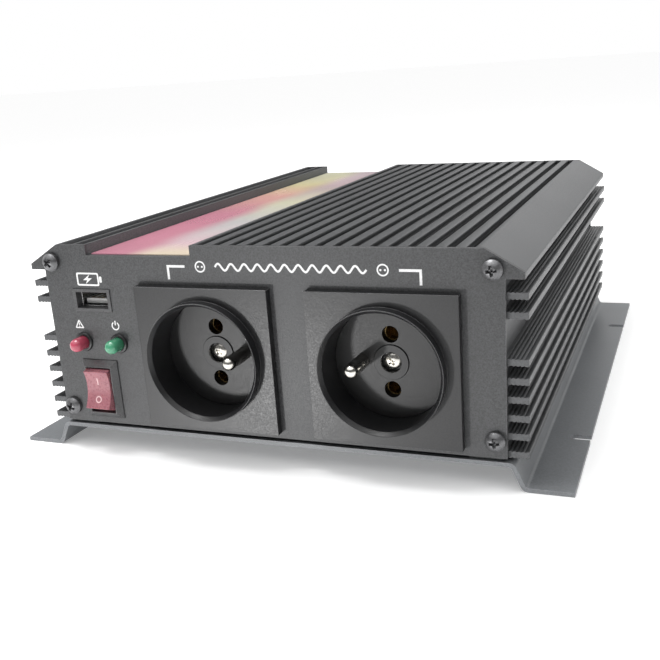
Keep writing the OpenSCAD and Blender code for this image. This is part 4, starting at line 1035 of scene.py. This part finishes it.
def buildScrews():
    spot = screwPlaces
    black, zinc, nickel = finishes["blackScrew"], finishes["zincScrew"], finishes["nickelPin"]
    portX, portZ = housingLook["portX"], housingLook["portZ"]
    panelFaces = ((0, (0, -1, 0)), (postLook["panel"], (0, 1, 0)))
    panel = [((x, y, z), way) for y, way in panelFaces for x in (-portX, portX) for z in portZ]
    addPiece("panelScrewSet", setScrews("panelScrew", panel, black, 7), black,
             replaced=["panel_screws"])

    under = [((side * spot["baseSides"], y, spot["under"]), (0, 0, -1))
             for side in (-1, 1) for y in spot["baseRows"]]
    board = []
    for x in (-spot["boardSides"], spot["boardSides"]):
        for y in spot["boardRows"]:
            under.append(((x, y, spot["under"]), (0, 0, -1)))
            board.append(((x, y, spot["boardTop"]), (0, 0, 1)))
    clamps = [((side * spot["clampSides"], y, spot["clampHeight"]), (-side, 0, 0))
              for side in (-1, 1) for y in spot["clampRows"]]
    small = joinMeshes([setScrews("smallScrew", under + board, zinc, 3),
                        setScrews("clampScrew", clamps, zinc, 5)], "small")
    addPiece("smallScrewSet", small, zinc, replaced=["small_screws"])

    centres = [((x, spot["outletDeep"], spot["outletHeight"]), (0, -1, 0)) for x in spot["outletSides"]]
    addPiece("outletScrewSet", setScrews("outletScrew", centres, nickel, 11), nickel,
             replaced=["outlet_screws"])

    fanX, fanZ = fanLook["centre"]
    corners = [(fanX + dx * spot["fanSpread"], fanZ + dz * spot["fanSpread"])
               for dx in (-1, 1) for dz in (-1, 1)]
    fan = [((x, spot["fanHeads"], z), (0, 1, 0)) for x, z in corners]
    heads = setScrews("fanScrew", fan, black, 2)
    across = spot["nutAcross"]
    nutFlats = roundedLoop([(across * math.cos(math.radians(a)), across * math.sin(math.radians(a)))
                            for a in range(0, 360, 60)], 0.3, 2)
    bore = arcPoints((0, 0), spot["nutBore"], 0, 345, 23)
    nuts = []
    for x, z in corners:
        nut = drawnSolid([nutFlats, bore], *spot["fanNuts"], black)
        nut.transform(Matrix.Translation((x, 0, z)))
        nuts.append(nut)
    addPiece("fanScrewSet", joinMeshes([heads] + nuts, "fanScrews"), black,
             replaced=["fan_screws"])
    print("screws set")


# Outlets

def buildOutlets():
    for side in ("left", "right"):
        softCopy(side + "_outlet_body", finishes["outletPlastic"], edge=0.16,
                 name=side + "OutletBody")
        softCopy(side + "_outlet_insert", finishes["insertPlastic"], edge=0.14,
                 name=side + "OutletInsert")
        softCopy(side + "_contacts", finishes["contactBrass"], edge=0.1,
                 name=side + "Contacts")
        buildEarthPin(side)
    print("outlets built")


def buildEarthPin(side):
    # bullet-nosed pin on a thinner stem, with a flat solder tab behind
    x = {"left": -9.5, "right": 34.7}[side]
    profile = [(0, -6.8)]
    for s in range(1, 9):
        a = math.radians(90 * s / 8)
        profile.append((2.4 * math.sin(a), -4.4 - 2.4 * math.cos(a)))
    profile += [(2.4, 0.0), (2.34, 0.25), (2.4, 0.5), (2.4, 6.35), (2.28, 6.5), (2.0, 6.5), (2.0, 23.8),
                (1.8, 24.0), (0, 24.0)]
    pin = turned(profile, (x, 27.9), 48)
    tab = drawnSolid([roundedLoop([(x - 0.4, 25.9), (x + 0.4, 25.9), (x + 0.4, 29.9), (x - 0.4, 29.9)],
                                  0.15, 2)],
                     23.0, 33.0, finishes["nickelPin"])
    addPiece(side + "EarthPin", joinMeshes([pin, tab], "pin"), finishes["nickelPin"],
             replaced=[side + "_earth_pin"])


# Rocker switch

rockerLook = {
    "place": (-65.5, 13.6), "pivot": 2.5, "swing": 12,
    "chord": 6.6, "face": 7.4, "sag": 1.6,
    "markLine": 0.42, "onBar": (3.1, 2.6), "offRing": (-3.6, 1.05), "markLift": 0.05,
}


def rockerPoint(across, along, lift):
    # a point on the rocker's hollow face; along runs from its lower end to its upper end
    look = rockerLook
    radius = (look["chord"] ** 2 + look["sag"] ** 2) / (2 * look["sag"])
    outward = look["face"] - look["sag"] + radius - math.sqrt(radius ** 2 - along ** 2) + lift
    tilt = math.radians(look["swing"] / 2)
    y = look["pivot"] - (outward * math.cos(tilt) - along * math.sin(tilt))
    z = look["place"][1] + along * math.cos(tilt) + outward * math.sin(tilt)
    return Vector((look["place"][0] + across, y, z))


def buildSwitch():
    look = rockerLook
    softCopy("switch_frame", finishes["bezelPlastic"], edge=0.2, name="switchBezel")
    softCopy("rocker", finishes["rockerPlastic"], edge=0.4, segments=3, body="rocker",
             name="rockerButton", angle=40)
    softCopy("switch_terminals", finishes["bareAluminium"], edge=0.1, name="switchTabs")

    barAt, barLong = look["onBar"]
    ringAt, ringRadius = look["offRing"]
    bar = [strokeLoop([(0, barAt - barLong / 2 + barLong * i / 6) for i in range(7)],
                      look["markLine"] * 1.15)]
    ring = ringLoops(0, ringAt, ringRadius, look["markLine"])
    meshes = []
    for loops in (bar, ring):
        mesh = drawnSolid(loops, 0, 1, finishes["softInk"])
        for vertex in mesh.vertices:      # y 0 is the mark's outer face
            lift = look["markLift"] * (1 - vertex.co.y) - 0.05 * vertex.co.y
            vertex.co = rockerPoint(vertex.co.x, vertex.co.z, lift)
        meshes.append(mesh)
    addPiece("rockerMarks", joinMeshes(meshes, "marks"), finishes["softInk"],
             body="rocker")
    print("switch built")


# Lamps: domed lenses in thin collars, each with a reflector cup on its lead frame inside

lampLook = {
    "height": 31.4, "radius": 2.5, "tip": -7.2, "rim": 2.9,
    "lamps": {"fault": (-71, "redLens", "red_lens"), "power": (-56, "greenLens", "green_lens")},
}


def buildLamps():
    look = lampLook
    radius, tip = look["radius"], look["tip"]
    for name, (x, finishName, slotName) in look["lamps"].items():
        profile = [(0, tip)]
        for s in range(1, 11):
            a = math.radians(90 * s / 10)
            profile.append((radius * math.sin(a), tip + radius - radius * math.cos(a)))
        profile += [(radius, 3.0), (look["rim"] - 0.1, 3.0), (look["rim"], 3.1), (look["rim"], 3.9),
                    (look["rim"] - 0.1, 4.0), (0, 4.0)]
        lens = turned(profile, (x, look["height"]), 48)
        legs = [drawnSolid([roundedLoop([(x + s * 1.27 - 0.25, 31.15), (x + s * 1.27 + 0.25, 31.15),
                                         (x + s * 1.27 + 0.25, 31.65), (x + s * 1.27 - 0.25, 31.65)], 0.06,
                                         1)],
                           3.95, 8.0, finishes[finishName]) for s in (-1, 1)]
        addPiece(name + "Lens", joinMeshes([lens] + legs, "lens"), finishes[finishName],
                 replaced=[name + "_lamp"])
        # lead frame: a post with a small reflector cup and a thinner post beside it
        cup = turned([(0, -1.2), (0.35, -1.2), (0.62, -1.75), (0.75, -1.75), (0.75, -0.6), (0.4, -0.4),
                      (0.4, 3.5),
                      (0, 3.5)], (x - 0.5, look["height"]), 24)
        post = turned([(0, -1.1), (0.25, -1.1), (0.3, -1.0), (0.3, 3.5), (0, 3.5)],
                      (x + 0.9, look["height"]), 16)
        addPiece(name + "LeadFrame", joinMeshes([cup, post], "leads"), finishes["nickelPin"])
    collars = []
    for x in (-71, -56):
        profile = [(2.52, -0.75), (2.62, -0.95), (3.0, -1.0), (3.4, -0.85), (3.6, -0.5), (3.6, 0), (3.04, 0),
                   (3.04, 2.9), (2.52, 2.9)]
        collars.append(turned(profile, (x, look["height"]), 48, closed=True))
    addPiece("lampCollars", joinMeshes(collars, "collars"), finishes["blackPlastic"],
             replaced=["lamp_collars"])
    print("lamps built")


# Charging port

def buildPort():
    softCopy("usb_frame", finishes["bezelPlastic"], edge=0.12, name="portFrame")
    softCopy("usb_shell", finishes["portSteel"], edge=0.12, name="portShell")
    softCopy("usb_tongue", finishes["tongueWhite"], edge=0.12, name="portTongue")
    fingers = []
    for x in (-3.5, -1, 1, 3.5):      # gold fingers on top of the tongue
        outline = roundedLoop([(-64.9 + x - 0.45, 46.98), (-64.9 + x + 0.45, 46.98),
                               (-64.9 + x + 0.45, 47.1),
                               (-64.9 + x - 0.45, 47.1)], 0.04, 1)
        fingers.append(drawnSolid([outline], 4.7, 11.8, finishes["contactBrass"]))
    addPiece("portFingers", joinMeshes(fingers, "fingers"), finishes["contactBrass"])
    print("port built")


# Fan at the back: open frame, seven-bladed rotor, motor coils and a wire guard

fanLook = {
    "centre": (-42, 29), "front": 213.5,
    "hub": 12.5, "hubFront": 3.0, "hubBack": 13.5, "cup": 10.6,
    "blades": 7, "bladeTip": 22.7, "bladeTwist": (54, 34), "bladeThick": 1.1,
    "bladeCamber": 0.09, "bladeChord": 9.6,
    "rings": (7, 12, 17, 22), "wire": 0.8, "ringY": 232.0, "spokeY": 230.8, "spokes": 4, "eye": 28.284,
}


def bladeMesh():
    # one blade: a cambered section that twists from the hub out to its tip
    look = fanLook
    work = bmesh.new()
    stations = 9
    around = []
    for i in range(stations):
        share = i / (stations - 1)
        radius = look["hub"] - 0.6 + (look["bladeTip"] - look["hub"] + 0.6) * share
        twist = math.radians(look["bladeTwist"][0] + (look["bladeTwist"][1] - look["bladeTwist"][0]) * share)
        chord = look["bladeChord"] * (0.86 + 0.14 * share)
        section = []
        upper = [(t / 7 - 0.5) for t in range(8)]
        for way, row in ((1, upper), (-1, reversed(upper))):
            for u in row:
                camber = look["bladeCamber"] * (1 - 4 * u * u) * chord
                skin = look["bladeThick"] * 0.5 * math.sqrt(max(0.02, 1 - 4 * u * u))
                section.append((u, camber + way * skin))
        ring = []
        for u, rise in section:
            along = u * chord
            sideways = along * math.cos(twist) - rise * math.sin(twist)
            depth = along * math.sin(twist) + rise * math.cos(twist)
            reach = math.sqrt(max(1, radius ** 2 - sideways ** 2))
            ring.append(work.verts.new((reach, 8.2 + depth, sideways)))
        around.append(ring)
    for first, second in zip(around, around[1:]):
        for k in range(len(first)):
            n = (k + 1) % len(first)
            work.faces.new((first[k], first[n], second[n], second[k]))
    work.faces.new(around[0][::-1])
    work.faces.new(around[-1])
    bmesh.ops.recalc_face_normals(work, faces=work.faces)
    return meshFrom(work, "blade")


def buildFan():
    look = fanLook
    x, z = look["centre"]
    front = look["front"]
    black = finishes["blackPlastic"]
    softCopy("fan_frame", black, edge=0.35, name="fanFrame")
    softCopy("fan_stator", finishes["redCopper"], edge=0.3, name="fanCoils")

    hub, cup = look["hub"], look["cup"]
    a, b = look["hubFront"], look["hubBack"]
    profile = [(1.5, a - 0.5), (1.5, 12.0), (cup - 0.4, 12.0), (cup, 11.6), (cup, a), (hub - 0.4, a),
               (hub, a + 0.4),
               (hub, b - 1.0), (hub - 0.3, b - 0.3), (hub - 1.0, b), (9.6, b), (9.3, b - 0.25),
               (0, b - 0.25)]
    shaftEnd = [(0, a - 0.5)]
    hubMesh = turned([(r, front + y) for r, y in shaftEnd + profile], (x, z), 64)
    blades = aroundAxis(bladeMesh(), look["blades"], (x, front, z), black)
    addPiece("fanRotor", joinMeshes([hubMesh, blades], "rotor"), black, body="fan",
             replaced=["fan_rotor"])
    sticker = turned([(0, b - 0.26), (9.0, b - 0.26), (9.0, b - 0.18), (0, b - 0.18)], (0, 0), 48)
    sticker.transform(Matrix.Translation((x, front, z)))
    addPiece("hubSticker", sticker, finishes["siliconePad"], body="fan")

    steel = finishes["grilleSteel"]
    circles = []
    for radius in look["rings"]:
        circles.append([(x + radius * math.cos(2 * math.pi * k / 72), look["ringY"],
                         z + radius * math.sin(2 * math.pi * k / 72)) for k in range(72)])
    rings = wireMesh(circles, look["wire"], 0.0, steel, 12, cyclic=True)
    spoke = wireMesh([[(6.6, look["spokeY"], 0), (25.4, look["spokeY"], 0)]], look["wire"], 0.0, steel, 12)
    eye = turned([(2.2, 230.02), (3.3, 230.0), (3.6, 230.3), (3.6, 231.3), (3.3, 231.6), (2.5, 231.6),
                  (2.2, 231.3)],
                 (look["eye"], 0), 32, closed=True)
    arm = joinMeshes([spoke, eye], "arm")
    arms = aroundAxis(arm, look["spokes"], (x, 0, z), steel, math.radians(45))
    addPiece("fanGuard", joinMeshes([rings, arms], "guard"), steel, replaced=["fan_grille"])
    print("fan built")


# Battery posts and the earth post

postLook = {
    "posts": {"positive": (48, "redMoulding", "red_moulding"),
              "negative": (12, "blackMoulding", "black_moulding")},
    "height": 32, "panel": 230,
    "stud": 4.0, "pilot": 3.7, "pitch": 1.25, "threadDeep": 0.55,
    "knob": 9.1, "lobes": 12, "knobBack": 249.7,
}


def threadedRod(radius, y0, y1, pitch, deep, centre, steps=28, ends=(0.5, 0.5)):
    # a screw thread: the groove runs round the rod as a helix, and fades out into a chamfer at each end
    work = bmesh.new()
    count = int((y1 - y0) / pitch * 6)
    rings = []
    for i in range(count + 1):
        y = y0 + (y1 - y0) * i / count
        fade = min(1, (y - y0) / (pitch * 0.8), (y1 - y) / (pitch * 0.8))
        ring = []
        for k in range(steps):
            phase = (y / pitch - k / steps) % 1.0
            groove = abs(phase - 0.5) * 2
            size = radius - deep * groove * max(0, fade)
            if y - y0 < ends[0]:
                size = min(size, radius - (ends[0] - (y - y0)))
            if y1 - y < ends[1]:
                size = min(size, radius - (ends[1] - (y1 - y)))
            angle = 2 * math.pi * k / steps
            ring.append(work.verts.new((centre[0] + size * math.cos(angle), y,
                                        centre[1] + size * math.sin(angle))))
        rings.append(ring)
    for first, second in zip(rings, rings[1:]):
        for k in range(steps):
            n = (k + 1) % steps
            work.faces.new((first[k], first[n], second[n], second[k]))
    work.faces.new(rings[0])
    work.faces.new(rings[-1])
    bmesh.ops.recalc_face_normals(work, faces=work.faces)
    return meshFrom(work, "thread")


def hexNut(y0, y1, across, bore, centre, finish):
    # a nut with its corners turned off on both faces
    flats = [(centre[0] + across * math.cos(math.radians(a)), centre[1] + across * math.sin(math.radians(a)))
             for a in range(0, 360, 60)]
    body = looseObject("nut", drawnSolid([flats], y0, y1, finish))
    lip = across * 0.14
    cone = looseObject("nutCone",
                       turned([(bore, y0 - 1), (bore, y1 + 1), (across * 0.84, y1 + 1), (across * 0.84, y1),
                                          (across * 1.02, y1 - lip), (across * 1.02, y0 + lip),
                                          (across * 0.84, y0),
                                          (across * 0.84, y0 - 1)], centre, 48, closed=True))
    keep = body.modifiers.new("corners", "BOOLEAN")
    keep.object = cone
    keep.operation = "INTERSECT"
    keep.solver = "EXACT"
    mesh = runModifiers(body)
    bpy.data.objects.remove(cone)
    return mesh


def buildPosts():
    look = postLook
    brass = finishes["postBrass"]
    z, panel = look["height"], look["panel"]
    studs, nuts = [], []
    for name, (x, finishName, slotName) in look["posts"].items():
        moulding = finishes[finishName]
        profile = [(4.02, 226.2), (5.8, 226.0), (6.0, 226.3), (6.0, 230.0), (11.1, 230.0), (11.5, 230.4),
                   (11.5, 233.0),
                   (11.1, 233.6), (10.6, 234.0), (10.6, 235.4), (10.0, 236.0), (8.9, 236.0), (8.6, 235.75),
                   (4.5, 235.75), (4.02, 236.0)]
        addPiece(name + "Insulator", turned(profile, (x, z), 64, closed=True), moulding,
                 replaced=[name + "_insulator"])
        washer = turned([(4.05, 236.2), (4.2, 236.06), (7.8, 236.06), (8.0, 236.2), (8.0, 237.45),
                         (7.8, 237.63),
                         (4.2, 237.63), (4.05, 237.45)], (x, z), 48, closed=True)
        addPiece(name + "Washer", washer, brass, body=name + "_washer",
                 replaced=[name + "_washer"])

        lobe = turned([(0, 238.9), (1.0, 238.9), (1.45, 239.4), (1.5, 240.0), (1.5, 247.6), (1.4, 248.2),
                       (1.0, 248.7),
                       (0, 248.7)], (7.6, 0), 16)
        lobes = aroundAxis(lobe, look["lobes"], (x, 0, z), moulding)
        core = turned([(4.05, 237.9), (4.25, 237.7), (8.7, 237.7), (9.0, 238.0), (9.0, 239.3), (8.75, 239.7),
                       (8.3, 239.9), (8.3, 248.3), (8.0, 249.1), (7.2, 249.6), (6.2, 249.7), (5.8, 249.2),
                       (4.4, 249.2), (4.05, 249.0)], (x, z), 64, closed=True)
        addPiece(name + "Knob", joinMeshes([core, lobes], "knob"), moulding, body=name + "_knob",
                 replaced=[name + "_knob"])

        studs.append(threadedRod(look["stud"], 214.0, look["knobBack"], look["pitch"], look["threadDeep"],
                                 (x, z),
                                 ends=(0.6, 0.3)))
        studs.append(turned([(0, 249.6), (look["pilot"], 249.6), (look["pilot"], 255.3),
                             (look["pilot"] - 0.7, 256),
                             (0, 256)], (x, z), 40))
        nuts.append(hexNut(217.5, 224.0, 7.5, 4.0, (x, z), brass))
    addPiece("postStuds", joinMeshes(studs, "studs"), brass, replaced=["post_studs"])
    addPiece("studNuts", joinMeshes(nuts, "nuts"), brass, replaced=["stud_nuts"])

    x, z = 68, 14
    rod = threadedRod(2.5, 223.5, panel + 14, 0.8, 0.35, (x, z), 24, (0.3, 0.5))
    inner = hexNut(224.5, 228.5, 4.6, 2.3, (x, z), brass)
    outer = hexNut(panel + 0.95, panel + 5, 4.6, 2.3, (x, z), brass)
    plate = turned([(2.55, 230.0), (4.8, 230.0), (5.0, 230.2), (5.0, 230.8), (4.8, 231.0), (2.55, 231.0)],
                   (x, z), 40,
                   closed=True)
    addPiece("earthPost", joinMeshes([rod, inner, outer, plate], "earth"), brass,
             replaced=["ground_stud"])
    softCopy("inner_insulators", finishes["blackPlastic"], edge=0.3, name="innerInsulators")
    print("posts built")


# Inside: boards, transformers, capacitors and wiring, seen only through the vents and outlets

insideFinishes = {
    # CAD node: finish
    "lamp_board": "circuitBoard", "usb_board": "circuitBoard", "main_board": "circuitBoard",
    "control_board": "circuitBoard", "insulating_strips": "siliconePad",
}
insideCopies = {
    # CAD node: finish, slot, edge radius
    "standoffs": ("postBrass", "post_brass", 0.2),
    "transformer_cores": ("ferriteGrey", "ferrite", 0.6),
    "transformer_windings": ("windingTape", "winding_tape", 0.8),
    "input_capacitors": ("capacitorSleeve", "capacitor_sleeve", 0.5),
    "bus_capacitors": ("capacitorSleeve", "capacitor_sleeve", 0.6),
    "film_capacitor": ("filmBox", "film_box", 0.8),
    "choke_core": ("coatedPowder", "coated_powder", 0.8), "choke_winding": ("woundCopper", "copper", 0.8),
    "transistors": ("blackPlastic", "black_plastic", 0.15),
    "clamp_bars": ("bareAluminium", "bare_aluminium", 0.4),
    "fuses": ("fuseOrange", "fuse_plastic", 0.25), "busbars": ("redCopper", "copper", 0.3),
}

wireLook = {
    "radius": 1.2, "bend": 5.0,
    "live": [[(45, 33, 37.6), (45, 36.4, 40), (13, 36.4, 43), (-19.1, 36.4, 40), (-19.1, 33, 37.6)],
             [(45, 36.4, 40), (52, 42, 30), (52, 44, 18), (52, 44, 12.1)]],
    "neutral": [[(45, 33, 18.6), (45, 36, 17), (13, 36, 15), (-19.1, 36, 17), (-19.1, 33, 18.6)],
                [(45, 36, 17), (38, 42, 20), (38, 44, 17), (38, 44, 12.1)]],
    "earth": [[(-9.1, 33, 28.1), (-9.1, 36, 28.1), (35, 36, 28.1), (35, 33, 28.1)],
              [(35, 36, 28.1), (67, 36, 22), (67, 34, 5), (67, 34, -1.2)]],
}


def buildInside():
    for node, finishName in insideFinishes.items():
        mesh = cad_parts[node].data
        mesh.materials.clear()
        mesh.materials.append(finishes[finishName])
    for node, (finishName, slotName, edge) in insideCopies.items():
        softCopy(node, finishes[finishName], edge=edge, name=node + "_shape")
    look = wireLook
    for name, finishName, slotName in (("live", "brownSleeve", "brown_insulation"),
                                       ("neutral", "blueSleeve", "blue_insulation"),
                                       ("earth", "greenSleeve", "green_insulation")):
        mesh = wireMesh(look[name], look["radius"], look["bend"], finishes[finishName], 16)
        addPiece(name + "Wires", mesh, finishes[finishName], replaced=[name + "_wires"])
    print("inside built")


buildHousing()
buildPlates()
buildMarks()
buildScrews()
buildOutlets()
buildSwitch()
buildLamps()
buildPort()
buildFan()
buildPosts()
buildInside()
buildView()
